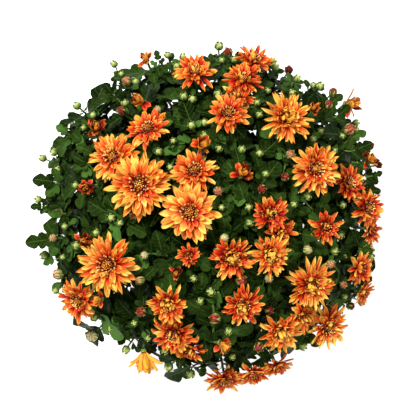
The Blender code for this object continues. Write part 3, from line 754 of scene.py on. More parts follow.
class Patterns:
    """The shapes that are laid many times, made once."""

    def __init__(self, chance: random.Random) -> None:
        """Makes them all.

        Args:
            chance: the source of small differences between the copies.
        """
        self.petals, self.incurved = (
            {
                skin: [
                    Blade(rows, thickness=PETAL_THICKNESS, cup=cup, bend=bend, sway=sway).shape(skin)
                    for rows, cup, bend, sway in forms
                ]
                for skin in (Skin.PETAL, Skin.DEEP_PETAL)
            }
            for forms in (PETAL_FORMS, INCURVED_FORMS)
        )
        self.quills = [
            Blade(QUILL_ROWS, thickness=0.08, cup=0.10, bend=bend).shape(Skin.QUILL) for bend in (0.5, 0.8)
        ]
        self.leaves = [
            Blade(
                LEAF_ROWS, 4, 0.015, bend=-0.45 + chance.uniform(-0.35, 0.30),
                fold=chance.uniform(0.20, 0.62), sway=chance.uniform(-0.10, 0.10),
                wave=chance.uniform(0.05, 0.26),
            ).shape(Skin.LEAF)
            for _ in range(LEAF_FORMS)
        ]
        self.bract = Blade(BRACT_ROWS, 2, 0.03, cup=0.02, bend=-0.5).shape(Skin.LEAF)
        self.scale = Blade(SCALE_ROWS, 2, 0.05, cup=0.05, bend=0.9).shape(Skin.SCALE)
        self.floret = self.made_floret()
        self.green_bud = self.made_bud(Skin.SCALE, 1.0)
        self.colour_bud = self.made_bud(Skin.BUD, 1.25)
        self.bit = self.made_bit()

    def made_floret(self) -> Shape:
        """Makes a disc floret: a little five-sided tube, 1 high and 0.7 wide, flared at its mouth.

        Returns:
            The shape.
        """
        bm = bmesh.new()
        bmesh.ops.create_cone(
            bm, cap_ends=True, segments=5, radius1=0.22, radius2=0.36, depth=1,
            matrix=Matrix.Translation((0, 0, 0.5)),
        )
        top = max(bm.faces, key=lambda face: face.calc_center_median().z)
        bmesh.ops.poke(bm, faces=[top])["verts"][0].co.z = 0.82
        set_uv(bm, lambda corner: (0.5, corner.co.z))
        return Shape.taken(bm, Skin.FLORET)

    def made_bud(self, skin: Skin, tall: float) -> Shape:
        """A bud of radius 1 that faces +Z: a grooved body and the scales that wrap it.

        Args:
            skin: what its body is made of.
            tall: its height, as a share of its width.

        Returns:
            The shape.
        """
        bm = bmesh.new()
        green = skin is Skin.SCALE
        bmesh.ops.create_uvsphere(bm, u_segments=2 * BUD_RIBS, v_segments=7, radius=0.80 if green else 0.74)
        bm.verts.index_update()
        ridges = {}
        for corner in bm.verts:
            off_pole = corner.co.xy.length > 0.1
            ridge = math.cos(BUD_RIBS * math.atan2(corner.co.y, corner.co.x)) * off_pole
            groove = 1 + BUD_GROOVE * ridge
            ridges[corner.index] = 0.5 + 0.5 * ridge
            peak = 1.0 - (0.30 if green else 0.12) * (not off_pole and corner.co.z > 0)
            turn = Matrix.Rotation(0.55 * corner.co.z, 3, "Z")
            corner.co = turn @ Vector((corner.co.x * groove, corner.co.y * groove, corner.co.z * tall * peak))
        set_uv(bm, lambda corner: (ridges[corner.index], 0.55 + 0.50 * corner.co.z / tall))
        body = Shape.taken(bm, skin)
        wraps = [
            (Skin.SCALE, number / 6, 0.80 if green else 0.64 + 0.10 * (number % 2)) for number in range(6)
        ]
        if not green:
            wraps = [
                (Skin.BUD, (number + 0.4) / 8, 0.88 + 0.05 * (number % 3), 0.02, 0.9) for number in range(8)
            ] + wraps
        for wrap in wraps:
            body = body.joined(self.wrapped(*wrap))
        return body

    def wrapped(self, skin: Skin, place: float, reach: float, flare: float = 0.30,
                twist: float = 0.0) -> Shape:
        """One scale or folded petal, laid up the side of a ball of radius 1 from its lower pole.

        Args:
            skin: what it is made of.
            place: its share of a turn round the ball.
            reach: how far up it comes, as a share of half a turn.
            flare: how far its tip stands off the ball.
            twist: how far it leans round the ball, in radians.

        Returns:
            The shape.
        """
        flat = Blade(SCALE_ROWS if skin is Skin.SCALE else FOLDED_ROWS, 2, 0.04).shape(skin)
        points = []
        for along, side, height in flat.points:
            azimuth = place * FULL_TURN + twist * along
            out = np.array((math.cos(azimuth), math.sin(azimuth), 0.0))
            aside = np.array((-math.sin(azimuth), math.cos(azimuth), 0.0))
            polar = (0.10 + (reach - 0.10) * along) * math.pi
            lift = 0.94 + height + flare * along * along + (0.10 * side if twist else 0.0)
            ball = out * math.sin(polar) * lift + np.array((0, 0, -math.cos(polar) * lift))
            points.append(ball + aside * side * 1.75)
        uvs = [(2 * abs(across % 1 - 0.5), share) for across, share in flat.uvs] if twist else flat.uvs
        return Shape(np.array(points), flat.faces, uvs, flat.skins)

    def made_bit(self) -> Shape:
        """Makes a bit of bark or a crumb, of radius 1.

        Returns:
            The shape.
        """
        bm = bmesh.new()
        bmesh.ops.create_icosphere(bm, subdivisions=1, radius=1)
        for number, corner in enumerate(bm.verts):
            corner.co *= 0.8 + 0.4 * ((number * 7) % 5) / 4
        return Shape.taken(bm, Skin.MIX)


# Layout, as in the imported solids

@dataclass(frozen=True)
class Dome:
    """The low dome that the blooms lie on."""

    mid_z: float = 0.182
    rise: float = 0.134
    reach: float = 0.192

    def z(self, x: float, y: float) -> float:
        """The dome's height over a place."""
        share = min(1.0, math.hypot(x, y) / self.reach)
        return self.mid_z + self.rise * math.sqrt(1 - share * share)

    def depth(self, point: Vector) -> float:
        """About how deep a point is under the dome, straight in from its surface."""
        out = math.hypot(point.x, point.y) / self.reach
        up = max(0.0, point.z - self.mid_z) / self.rise
        return self.rise * (1 - math.hypot(out, up))


DOME = Dome()


class Habit(Enum):
    """How far open a bloom is, with the petals in each of its rings."""

    FULL = 15
    OPEN = 12
    SMALL = 10
    CUPPED = 7


@dataclass(frozen=True)
class Ring:
    """One ring of petals: rise in degrees, length, half width, level on the core and share of a step."""

    rise: float
    reach: float
    half: float
    level: float
    phase: float


# A cup wider than this, in metres, has this many more petals in a ring, each this share as wide
WIDE_CUP = 0.03
WIDE_CUP_FURTHER_PETALS = 3
WIDE_CUP_NARROWING = 0.62

RINGS: dict[Habit, tuple[Ring, ...]] = {
    Habit.FULL: (
        Ring(1, 1.0, 0.039, 0.0, 0.5), Ring(6, 0.97, 0.039, 0.15, 0.0), Ring(12, 0.90, 0.038, 0.35, 0.25),
        Ring(19, 0.80, 0.036, 0.55, 0.75), Ring(27, 0.69, 0.033, 0.75, 0.5), Ring(36, 0.56, 0.030, 0.95, 0.0),
    ),
    Habit.OPEN: (
        Ring(2, 1.0, 0.049, 0.0, 0.5), Ring(9, 0.95, 0.048, 0.2, 0.0), Ring(17, 0.85, 0.046, 0.45, 0.25),
        Ring(26, 0.73, 0.042, 0.7, 0.75), Ring(36, 0.59, 0.037, 0.95, 0.5),
    ),
    Habit.SMALL: (
        Ring(4, 1.0, 0.059, 0.0, 0.5), Ring(14, 0.92, 0.057, 0.3, 0.0), Ring(25, 0.79, 0.053, 0.6, 0.25),
        Ring(38, 0.64, 0.046, 0.9, 0.75),
    ),
    Habit.CUPPED: (
        Ring(52, 1.0, 0.125, 0.0, 0.5), Ring(60, 0.95, 0.115, 0.3, 0.0), Ring(68, 0.82, 0.095, 0.6, 0.5),
        Ring(78, 0.66, 0.070, 0.9, 0.0),
    ),
}


@dataclass(frozen=True)
class Bloom:
    """A bloom as seen from above: place, width, tilt from straight up, height above the dome, and turn.

    gold is how golden its petals are and shag how uneven, narrow and upright, both from 0 to 1.
    """

    x: float
    y: float
    width: float
    tilt: float
    lift: float = 0.0
    gold: float = 0.5
    shag: float = 0.6
    turn: float = 0.0

    @classmethod
    def of_row(cls, x: float, y: float, width: float, tilt: float, lift: float, *looks: float) -> "Bloom":
        """A bloom from a row that has its sizes in millimetres."""
        return cls(x / 1000, y / 1000, width / 1000, tilt, lift / 1000, *looks)

    def place(self) -> tuple[Vector, Vector]:
        """Finds how the bloom stands.

        Returns:
            Its middle and the direction that it faces.
        """
        bearing = math.atan2(self.y, self.x) + math.radians(self.turn)
        tilt = math.radians(self.tilt)
        flat = math.sin(tilt)
        facing = Vector((flat * math.cos(bearing), flat * math.sin(bearing), math.cos(tilt)))
        return Vector((self.x, self.y, DOME.z(self.x, self.y) + self.lift)), facing

    def to_world(self) -> Matrix:
        """The matrix from the bloom's own frame, where +Z faces out."""
        place, facing = self.place()
        roll = Matrix.Rotation(90 * (self.x + 0.7 * self.y), 4, "Z")
        return facing_matrix(place, facing) @ roll

    def core(self) -> float:
        """The radius of the core that the petals grow from."""
        return max(0.0030, 0.088 * self.width)

    def habit(self) -> Habit:
        """How far open it is."""
        if self.width >= 0.052 and self.shag > 0.2 or self.width > 0.045 and self.shag >= 0.9:
            return Habit.FULL
        return Habit.OPEN if self.width >= 0.038 else Habit.SMALL


# Open and opening blooms: x, y, width, tilt in degrees and height above the dome, with sizes in millimetres,
# then how golden and how uneven they are, and their turn in degrees
BLOOMS = [Bloom.of_row(*row) for row in (
    (-14.5, 7.5, 58, 3, 4, 0.63, 0.1), (-63.5, 33.5, 66, 8, 6, 0.66, 0.35),
    (-95, -44, 63, 14, 6, 0.62, 0.5), (81.5, 100.5, 54, 14, 6, 0.69, 0.9),
    (109.5, 49.5, 54, 14, 6, 0.62, 0.5), (104.5, -63.5, 54, 22, 6, 0.6, 0.8),
    (64.5, -34.5, 47, 12, 7, 0.62, 1), (-89.5, 61, 54, 32, -13, 0.62, 0.3),
    (-54.5, 88.5, 45, 38, 0, 0.45, 0.3), (-9.5, 46.5, 50, 32, -14, 0.56, 0.4),
    (23.5, 104.5, 43, 20, 5, 0.49, 0.45), (-9.5, 145.5, 44, 35, 4, 0.5), (38.5, 138.5, 43, 45, -8, 0.37),
    (49.5, 158.5, 40, 48, -6, 0.39), (32.5, 121.5, 36, 34, -14, 0.48), (64.5, 6.5, 38, 10, 0, 0.28),
    (73.5, -13, 36, 22, -11, 0.34, 0.7), (26.5, -36.5, 48, 15, -8, 0.42, 0.89),
    (-35.5, -82.5, 44, 18, 4, 0.5, 0.75), (38, -84.5, 44, 12, 4, 0.38, 0.85),
    (-30.5, -112.5, 46, 28, -10, 0.5), (-124.5, -79.5, 48, 40, -6, 0.52, 0.4),
    (74.5, -110.5, 48, 32, 4, 0.63, 0.75), (122.5, -106.5, 48, 40, -4, 0.61, 0.5),
    (98.5, -95.5, 38, 42, -16, 0.57), (162.5, 11.5, 40, 42, -4, 0.41, 0.2),
    (142.5, 35.5, 40, 48, -10, 0.34, 0.2), (119.5, -7.5, 36, 15, 0, 0.31),
    (-15.5, -34.5, 25, 10, -4, 0.26), (-14.5, -127.5, 36, 50, -20, 0.31),
    (20, -160, 42, 60, -30, 0.46, 0.1), (48.5, -153.5, 36, 62, -22, 0.42, 0.1),
    (72.5, -146.5, 34, 62, -30, 0.44, 0.1), (165.5, -9.5, 34, 65, -16, 0.42, 0.1),
    (154.5, -48.5, 36, 50, -10, 0.51, 0.3), (159.5, -73.5, 27, 60, -16, 0.6, 0.3),
)]
OPENING = [Bloom.of_row(*row) for row in (
    (143.5, 118, 25, 60, -10, 0.42), (164.5, 57.5, 18, 60, -10, 0.35), (-106.5, 87.5, 22, 30, -6, 0.4),
    (-116, 32.5, 16, 25, 0, 0.33), (-4, 72.5, 19, 20, 0, 0.58), (35.5, 43.5, 20, 10, 0, 0.4),
    (-58.5, 161, 16, 50, -16, 0.75), (-60.5, 116.5, 19, 25, 0, 0.38), (-120, -21.5, 18, 20, -10, 0.4),
    (15.5, -122.5, 19, 50, -12, 0.54, 0.6, 80), (-25.5, -51, 14, 25, -10, 0.3),
    (-103, -79, 15, 30, -10, 0.65), (109, 109, 16, 40, -12, 0.55),
    (-61.5, -133, 34, 88, -36, 0.85, 0.6, 27),
)]


@dataclass(frozen=True)
class Bud:
    """A bud as seen from above, and its colour: None is green, and 0 dark red to 1 cream."""

    x: float
    y: float
    width: float
    lift: float = 0.0
    tone: Optional[float] = None

    def place(self) -> tuple[Vector, Vector]:
        """The bud's seat and the direction that it faces."""
        facing = (Vector((self.x, self.y, 0)) * (0.5 / DOME.reach) + UP * 0.5).normalized()
        middle = Vector((self.x, self.y, DOME.z(self.x, self.y) + self.lift))
        return middle - facing * self.width / 2, facing


# Buds that the solids have too: x, y, width and height above the dome in millimetres, and the tone if any
BUDS = [Bud(x / 1000, y / 1000, width / 1000, lift / 1000, *tone) for x, y, width, lift, *tone in (
    (24, 169, 12, -20, 0.25), (85.5, 151.5, 11, -22, 0.05), (131, 129.5, 11, -24, 0.22),
    (125.5, 115.5, 11, -12, 0.25), (146, 90.5, 14, -6, 0.42), (177.5, 55.5, 9, -12, 0.08),
    (85, 64.5, 11, -6, 0.6), (57, 30.5, 11, -4, 0.25), (13.5, 28.5, 12, -6, 0.58),
    (-82.5, 108.5, 10, -4, 0.2), (-78, 139, 11, -8, 0.55), (-46.5, 109.5, 9, -10, 0.88),
    (-145.5, 6.5, 10, -12, 0.62), (-152, -18.5, 11, -14, 0.72), (-146.5, -55, 13, -12, 0.7),
    (-62.5, -91.5, 13, -6, 0.3), (-63.5, -60, 11, -6, 0.62), (-59.5, -35, 10, -4, 0.92),
    (11, -97.5, 13, -4, 0.3), (54.5, -127, 12, -10, 0.25), (36, -59.5, 13, -6, 0.28),
    (139.5, -65.5, 9, -10, 0.58), (-114, -118.5, 14, -34, 0.95), (14.5, 175.7, 10, -20),
    (69, 160, 10, -22), (93.5, 142, 9, -18), (117, 135, 10, -20), (-22, 164, 9, -22), (-129, 115, 9, -20),
    (-161.5, -36, 10, -20), (-110.5, -98, 9, -22), (-79, -131, 10, -26), (-36, -148, 10, -26),
    (-14, -155.5, 10, -26), (99, -128.5, 9, -20), (-45, 67.2, 10, -6), (-12.5, 93, 10, -4),
    (36.5, 69, 9, -10), (54.5, 65.5, 9, -10), (43.5, 12, 9, -8), (129, -31, 9, -6), (-92, 2, 10, -6),
    (6, -71, 10, -6), (-64, 4, 9, -12), (-148, 50, 9, -18),
)]
# Further buds, which only the looks have: (x, y) in millimetres, and the tone of those that show colour
FURTHER_BUDS = (
    (-21, 122), (-12, 120), (0, 96), (-45, 67), (-34, 52), (-28, 141), (-69, 138), (-112, 105), (-152, 27),
    (-128, 34), (-146, 52), (-121, 92), (-80, 116), (-31, 78), (0, 84), (-37, 166), (-28, 154), (17, 160),
    (30, 161), (40, 156), (71, 154), (94, 142), (110, 136), (63, 129), (52, 116), (54, 104), (14, 70),
    (60, 45), (117, 88), (108, 80), (130, 69), (154, 98), (155, 90), (169, 75, 0.25), (88, 15), (102, 23),
    (17, 12), (138, 14), (40, 134), (13, 125), (-162, -36), (-142, -38), (-127, -26), (-92, 2), (-83, -3),
    (-139, -7), (-107, -13), (-110, -98), (-86, -116), (-70, -103), (-56, -118), (-39, -130), (-15, -139),
    (-94, -110), (13, -30), (45, -28), (44, -3), (106, -2), (136, -16), (141, -36), (13, -74), (-4, -80),
    (-11, -58), (61, -106), (24, -110), (28, -137), (99, -128), (142, -78), (148, -88, 0.08),
    (161, 36, 0.58), (80, 42, 0.22), (-70, 4, 0.42), (64, -90, 0.24), (126, -44, 0.60), (128, -88, 0.60),
    (160, -84, 0.60), (64, -58, 0.90), (0, -11, 0.05), (102, -30, 0.85), (20, -18, 0.97), (-168, 20),
    (-164, 62), (-96, 128), (150, 74), (-150, -72), (88, 128), (-92, 158), (-84, 147), (167, -22, 0.62),
    (168, -31), (168, -38), (160, -27), (164, -44), (152, 22), (-152, 68), (-134, -92), (139, 84),
)
# Leafy tips past the rim: (x, y) of the twig's end and the length of its leaf, in millimetres
LEAFY_TIPS = (
    (-155, -20, 27), (-149, 37, 25), (-163, 13, 14), (-138, 92, 11), (-46, 160, 12), (152, 70, 20),
    (148, 82, 18), (160, 58, 14), (164, 28, 15), (126, 116, 18), (134, 104, 18), (170, 44, 12),
    (158, -30, 13), (96, -14, 20), (104, -118, 16), (-117, 56, 18), (-137, 86, 16), (-150, -40, 14),
    (-111, 66, 20), (-92, 126, 16), (-24, -137, 14), (6, 157, 11), (-142, 6, 16),
)
# The leaves of a tip: the share of its twig, the turn aside in radians, and the share of the tip's leaf
LEAFY_TIP_LEAVES = ((0.97, 0.0, 1.0), (0.66, 0.9, 0.8), (0.80, -1.1, 0.7))
# How far leaves reach from the middle in millimetres, at every 10 degrees round
RIM = (
    173, 173, 176, 176, 176, 170, 151, 170, 168, 163, 163, 157, 166, 161, 164, 165, 163, 167, 148, 153, 158,
    161, 145, 149, 143, 157, 144, 147, 167, 165, 153, 154, 171, 173, 173, 171, 173,
)
# In metres: the camera's height, its distance from the level at which a pixel is a millimetre, and its place
EYE_HEIGHT = 3.26
EYE_RANGE = 3.0
EYE_OVER = (0.0035, 0.0115)
# Places in millimetres where the ground would show through the crown
BARE_SPOTS = (
    (160, -29), (153, -17), (155, -3), (-138, 90), (132, 37), (101, -14), (50, 99), (-97, 133), (-150, 5),
    (96, 126), (104, -115), (-110, -104), (-119, 57), (-117, 69), (-146, -63), (66, -140), (-32, 136),
    (-150, -44), (76, 145), (144, -90), (151, -74), (-16, 162), (38, -150), (-165, 30), (-104, 115),
    (-142, 84), (101, 131), (-41, -136), (148, -10), (-68, -132), (22, -151), (-14, -143), (-98, 90),
    (-122, -95), (50, 96), (-84, -125),
)


@dataclass(frozen=True)
class Plan:
    """Sizes of the stems, stalks and leaves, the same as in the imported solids."""

    seat_gap: float = 0.0003
    clearance: float = 0.0006
    soil_top: float = 0.134
    hole_depth: float = 0.030
    inner_stems: int = 2
    outer_stems: int = 6
    inner_aim: float = 0.048
    outer_aim: float = 0.128
    inner_foot: float = 0.013
    outer_foot: float = 0.040
    outer_turn: float = 0.35
    fork_share: float = 0.40
    fork_rise: float = 0.052
    inner_fork_rise: float = 0.020
    straight_above_mix: float = 0.012
    stem_radius: float = 0.0040
    stalk_radius: float = 0.0015
    pedicel_radius: float = 0.0010
    root_share: float = 0.55
    node_spacing: float = 0.0045
    cup_depth: float = 0.004
    leaf_longest: float = 0.052
    leaf_shortest: float = 0.042
    leaf_share: float = 0.012
    leaf_depth_cost: float = 0.5
    leaf_arch: float = 0.22
    leaf_cup: float = 0.16
    leaf_headroom: float = 0.004
    leaf_reach: float = 0.183
    leaves_most: int = 16
    leaf_spacing: float = 0.009
    skirt_shoots: int = 15
    skirt_radius: float = 0.122
    skirt_z: float = 0.172


PLAN = Plan()
LEAF_HALF = ((0.17, 0.030), (0.40, 0.33), (0.54, 0.15), (0.74, 0.27))
LEAF_RIB = 0.50
LEAF_RIB_DEPTH = 0.0014
LEAF_SWINGS = (0, 0.8, -0.8, 1.6, -1.6)
# How far back a stalk aims, its spans and the shortest one
STALK_RULE = (0.030, 2, 0.022)
BUD_RULE = (0.010, 2, 0.012)
SHOOT_RULE = (0.030, 2, 0.020)
# Where stalks may grow along a branch, and how far they swing aside to find a clear way
NODE_SHARES = tuple(0.30 + 0.07 * i for i in range(10))
STALK_SWAYS = (0, 0.012, -0.012, 0.024, -0.024)
# The corners of a CAD mesh that are one corner of its solid lie closer than this, in metres
NODE_WELD = 1e-6


@dataclass(frozen=True)
class FurtherLeaves:
    """The small leaves that only the looks have, and the grid of spots that they hide the ground with."""

    spread: int = 640
    cover: int = 1180
    spacing: float = 0.0018
    shortest: float = 0.015
    longest: float = 0.030
    rim_from: float = 0.135
    rim_share: float = 0.84
    spot: float = 0.004
    spots: int = 44
    bare_radius: float = 0.005
    bare_need: float = 3.5


FURTHER_LEAVES = FurtherLeaves()
FIRST_LEAVES_SEED = 11


@dataclass
class Solid:
    """A closed solid with the trees that test whether it is clear of others."""

    tree: BVHTree
    fat_tree: BVHTree
    centre: Vector
    radius: float

    @classmethod
    def taken(cls, bm: bmesh.types.BMesh) -> "Solid":
        """Takes a bmesh's shape and frees it.

        Args:
            bm: the bmesh.

        Returns:
            The solid.
        """
        bmesh.ops.triangulate(bm, faces=bm.faces[:])
        bmesh.ops.recalc_face_normals(bm, faces=bm.faces[:])
        bm.normal_update()
        points = [corner.co.copy() for corner in bm.verts]
        fat_points = [corner.co + corner.normal * PLAN.clearance for corner in bm.verts]
        bm.verts.index_update()
        faces = [[corner.index for corner in face.verts] for face in bm.faces]
        bm.free()
        centre = sum(points, Vector()) / len(points)
        radius = max((point - centre).length for point in points) + PLAN.clearance
        tree, fat_tree = (BVHTree.FromPolygons(corners, faces) for corners in (points, fat_points))
        return cls(tree, fat_tree, centre, radius)

    @classmethod
    def of_node(cls, name: str) -> "Solid":
        """Takes the solid of a CAD node from a merged copy of its mesh.

        Args:
            name: the node's name.

        Returns:
            The solid.
        """
        bm = bmesh.new()
        bm.from_mesh(frame["nodes"][name].data)
        bmesh.ops.remove_doubles(bm, verts=bm.verts[:], dist=NODE_WELD)
        return cls.taken(bm)

    def is_clear(self, others: Sequence["Solid"]) -> bool:
        """Whether this solid, made a clearance larger, crosses none of the others."""
        return not any(
            (self.centre - other.centre).length < self.radius + other.radius
            and self.fat_tree.overlap(other.tree)
            for other in others
        )


def outward_at(point: Vector) -> Vector:
    """About the direction out of the dome at a point, of no set length."""
    return Vector((point.x, point.y, 0)) / DOME.reach + UP * 0.55


def seen_from_above(points: np.ndarray) -> np.ndarray:
    """Where points appear from the camera, as x and y at the level at which a pixel is a millimetre."""
    return EYE_OVER + (points[:, :2] - EYE_OVER) * (EYE_RANGE / (EYE_HEIGHT - points[:, 2:]))


def frames(path: Sequence[Vector]) -> list[tuple[Vector, Vector]]:
    """Follows a path without twisting.

    Args:
        path: its points.

    Returns:
        The direction at each point and one way across it.
    """
    found = []
    for i in range(len(path)):
        direction = (path[min(i + 1, len(path) - 1)] - path[max(i - 1, 0)]).normalized()
        across = found[-1][1] if found else direction.orthogonal()
        found.append((direction, (across - direction * across.dot(direction)).normalized()))
    return found


def tube(bm: bmesh.types.BMesh, path: Sequence[Vector], radii: Sequence[float],
         sides: int) -> bmesh.types.BMFace:
    """Extrudes a closed tube along a path.

    Args:
        bm: the bmesh that it goes into.
        path: the points that it follows.
        radii: one radius for each point.
        sides: how many sides it has.

    Returns:
        The face at its far end.
    """
    rings = []
    for point, (direction, across), radius in zip(path, frames(path), radii):
        up = direction.cross(across)
        turn = FULL_TURN / sides
        rings.append([
            point + across * radius * math.cos((i + 0.5) * turn) + up * radius * math.sin((i + 0.5) * turn)
            for i in range(sides)
        ])
    face = bm.faces.new([bm.verts.new(point) for point in rings[0]])
    grown = bmesh.ops.extrude_face_region(bm, geom=[face])["geom"]
    face = next(item for item in grown if isinstance(item, bmesh.types.BMFace))
    for number, points in enumerate(rings[1:]):
        if number:
            face = bmesh.ops.extrude_discrete_faces(bm, faces=[face])["faces"][0]
        for corner, point in zip(face.verts, points):
            corner.co = point
    return face


def on_cubic(curve: Sequence[Vector], t: float) -> Vector:
    """The point of a cubic curve at a share of it."""
    first, pull, push, last = curve
    return first * (1 - t) ** 3 + pull * 3 * t * (1 - t) ** 2 + push * 3 * t * t * (1 - t) + last * t ** 3


def cubic(curve: Sequence[Vector], spans: int) -> list[Vector]:
    """Points along a cubic curve, one more than its spans."""
    return [on_cubic(curve, i / spans) for i in range(spans + 1)]


def along(path: Sequence[Vector], share: float) -> tuple[Vector, Vector, Vector]:
    """Finds a place along a path.

    Args:
        path: its points.
        share: the share of its spans.

    Returns:
        The point, the direction there and the way across it.
    """
    place = share * (len(path) - 1)
    i = min(int(place), len(path) - 2)
    across = frames(path)[i][1]
    return path[i].lerp(path[i + 1], place - i), (path[i + 1] - path[i]).normalized(), across


@dataclass
class Branch:
    """A stem's own axis or a stalk on it: its path in the solids, its curve, and where it grows from."""

    path: list[Vector]
    curve: tuple[Vector, Vector, Vector, Vector]
    parent: Optional["Branch"] = None
    share: float = 0.0
    thick: float = PLAN.stalk_radius

    def at(self, share: float) -> Vector:
        """The point of the smooth curve at a share of it, rooted on its parent's smooth curve."""
        first = self.parent.at(self.share) if self.parent else self.curve[0]
        return on_cubic((first, *self.curve[1:]), share)


@dataclass
class Leaf:
    """A leaf: the branch and the share of it that it grows from, its way, its upper side and its length."""

    branch: Branch
    share: float
    way: Vector
    normal: Vector
    length: float
    solid: Optional[Solid] = None

    @classmethod
    def grown(cls, branch: Branch, share: float, way: Vector, normal: Vector, length: float) -> "Leaf":
        """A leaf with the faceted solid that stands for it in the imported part."""
        solid = cls.faceted(along(branch.path, share)[0], way, normal, length)
        return cls(branch, share, way, normal, length, solid)

    @staticmethod
    def faceted(root: Vector, way: Vector, normal: Vector, length: float) -> Solid:
        """The faceted solid of a leaf.

        Args:
            root: where it grows from.
            way: the direction of its length.
            normal: about the direction that it faces.
            length: its length.

        Returns:
            The solid.
        """
        aside = way.cross(normal).normalized()
        normal = aside.cross(way).normalized()

        def at(share: float, side: float, depth: float = 0.0) -> Vector:
            """A point of the leaf, by its share along and aside, and its depth under the upper face."""
            bend = -PLAN.leaf_arch * share * share + PLAN.leaf_cup * abs(side)
            return root + way * share * length + aside * side * length + normal * (bend * length - depth)

        bm = bmesh.new()
        right = [bm.verts.new(at(share, side)) for share, side in LEAF_HALF]
        left = [bm.verts.new(at(share, -side)) for share, side in LEAF_HALF]
        base = bm.verts.new(at(0.0, 0.0))
        tip = bm.verts.new(at(1.0, 0.0))
        rib = bm.verts.new(at(LEAF_RIB, 0.0))
        keel = bm.verts.new(at(LEAF_RIB, 0.0, LEAF_RIB_DEPTH))
        bm.faces.new((base, right[0], left[0]))
        bm.faces.new((right[0], rib, left[0]))
        for half in (right, left):
            bm.faces.new((base, half[0], keel))
            for middle in (rib, keel):
                for near_edge, far_edge in zip(half, half[1:] + [tip]):
                    bm.faces.new((near_edge, far_edge, middle))
        return Solid.taken(bm)


@dataclass
class Stem:
    """One stem with all that grows on it."""

    aim: tuple[float, float]
    foot: tuple[float, float]
    branches: list[Branch] = field(default_factory=list)
    solids: list[Solid] = field(default_factory=list)
    leaves: list[Leaf] = field(default_factory=list)
    blooms: list[Bloom] = field(default_factory=list)
    buds: list[tuple[Bud, Branch]] = field(default_factory=list)

    def __post_init__(self) -> None:
        """Grows the stem's own axis, from inside its hole to its fork."""
        base = Vector((*self.foot, PLAN.soil_top - PLAN.hole_depth + PLAN.seat_gap))
        reach = Vector(self.aim) * PLAN.fork_share
        inward = PLAN.outer_aim - Vector(self.aim).length
        high = PLAN.soil_top + PLAN.fork_rise + PLAN.inner_fork_rise * inward / PLAN.outer_aim
        fork = Vector((*reach, high))
        rise = UP * (PLAN.hole_depth + PLAN.straight_above_mix)
        curve = (base + rise, base + rise * 1.5, fork - rise * 0.5, fork)
        axis = [base] + cubic(curve, 2)
        bm = bmesh.new()
        tube(bm, axis, [PLAN.stem_radius] * (len(axis) - 1) + [0.7 * PLAN.stem_radius], 6)
        self.base = base
        self.branches = [Branch(axis[1:], curve, thick=PLAN.stem_radius)]
        self.solids = [Solid.taken(bm)]

    def attach_points(self, target: Vector, shortest: float) -> list[tuple]:
        """Places to grow from, the best one first, apart from what grows there already.

        Args:
            target: what the new stalk reaches for.
            shortest: the shortest stalk.

        Returns:
            The gap, point, direction, branch and share of each.
        """
        found = []
        taken = [branch.path[0] for branch in self.branches[1:]]
        for branch in self.branches:
            for share in NODE_SHARES:
                point, direction, across = along(branch.path, share)
                gap = (target - point).length
                if gap < shortest or point.z > target.z - 0.15 * gap:
                    continue
                if all((point - other).length > PLAN.node_spacing for other in taken):
                    found.append((gap, point, direction, branch, share))
        return sorted(found, key=lambda item: item[0])

    def ways_to(self, seat: Vector, facing: Vector, rule: tuple) -> Iterator[Branch]:
        """Stalks from this stem's branches to a seat, which arrive along the way it faces.

        Args:
            seat: where the stalk ends.
            facing: the way that it arrives.
            rule: how far back it aims, its spans, and the shortest one.

        Yields:
            Each stalk that could be grown, the nearest first.
        """
        back, spans, shortest = rule
        for gap, point, direction, parent, share in self.attach_points(seat - facing * back, shortest):
            chord = (seat - point).length
            lead = (direction * 0.3 + (seat - point).normalized()).normalized()
            for sway in STALK_SWAYS:
                swing = lead.cross(UP).normalized() * sway
                curve = (
                    point, point + lead * 0.30 * chord + swing,
                    seat - facing * min(0.45 * chord, 0.035) + swing * 0.4, seat,
                )
                yield Branch(cubic(curve, spans), curve, parent, share)


def bloom_stalk(bloom: Bloom, path: Sequence[Vector]) -> Solid:
    """Makes the faceted solid of a bloom's stalk and cup.

    Args:
        bloom: the bloom.
        path: the stalk's points.

    Returns:
        The solid.
    """
    place, facing = bloom.place()
    cup_radius = 0.80 * (0.85 * bloom.core())
    points = list(path[:-1]) + [place - facing * PLAN.cup_depth, place - facing * PLAN.seat_gap]
    radii = [PLAN.stalk_radius * PLAN.root_share] + [PLAN.stalk_radius] * (len(points) - 2) + [cup_radius]
    bm = bmesh.new()
    tube(bm, points, radii, 4)
    return Solid.taken(bm)


def bud_stalk(bud: Bud, path: Sequence[Vector]) -> Solid:
    """Makes the faceted solid of a bud on its stalk.

    Args:
        bud: the bud.
        path: the stalk's points.

    Returns:
        The solid.
    """
    facing = bud.place()[1]
    place = path[-1]
    half = bud.width / 2
    points = list(path) + [place + facing * 0.85 * half]
    radii = [PLAN.pedicel_radius * 0.7] + [PLAN.pedicel_radius] * (len(path) - 1) + [1.15 * half]
    bm = bmesh.new()
    face = tube(bm, points, radii, 4)
    bmesh.ops.poke(bm, faces=[face])["verts"][0].co = place + facing * 2.0 * half
    return Solid.taken(bm)


def shoot_stalk(path: Sequence[Vector]) -> Solid:
    """The faceted solid of a leafy shoot."""
    bm = bmesh.new()
    tube(bm, path, [PLAN.pedicel_radius] + [1.3 * PLAN.pedicel_radius] * (len(path) - 1), 3)
    return Solid.taken(bm)


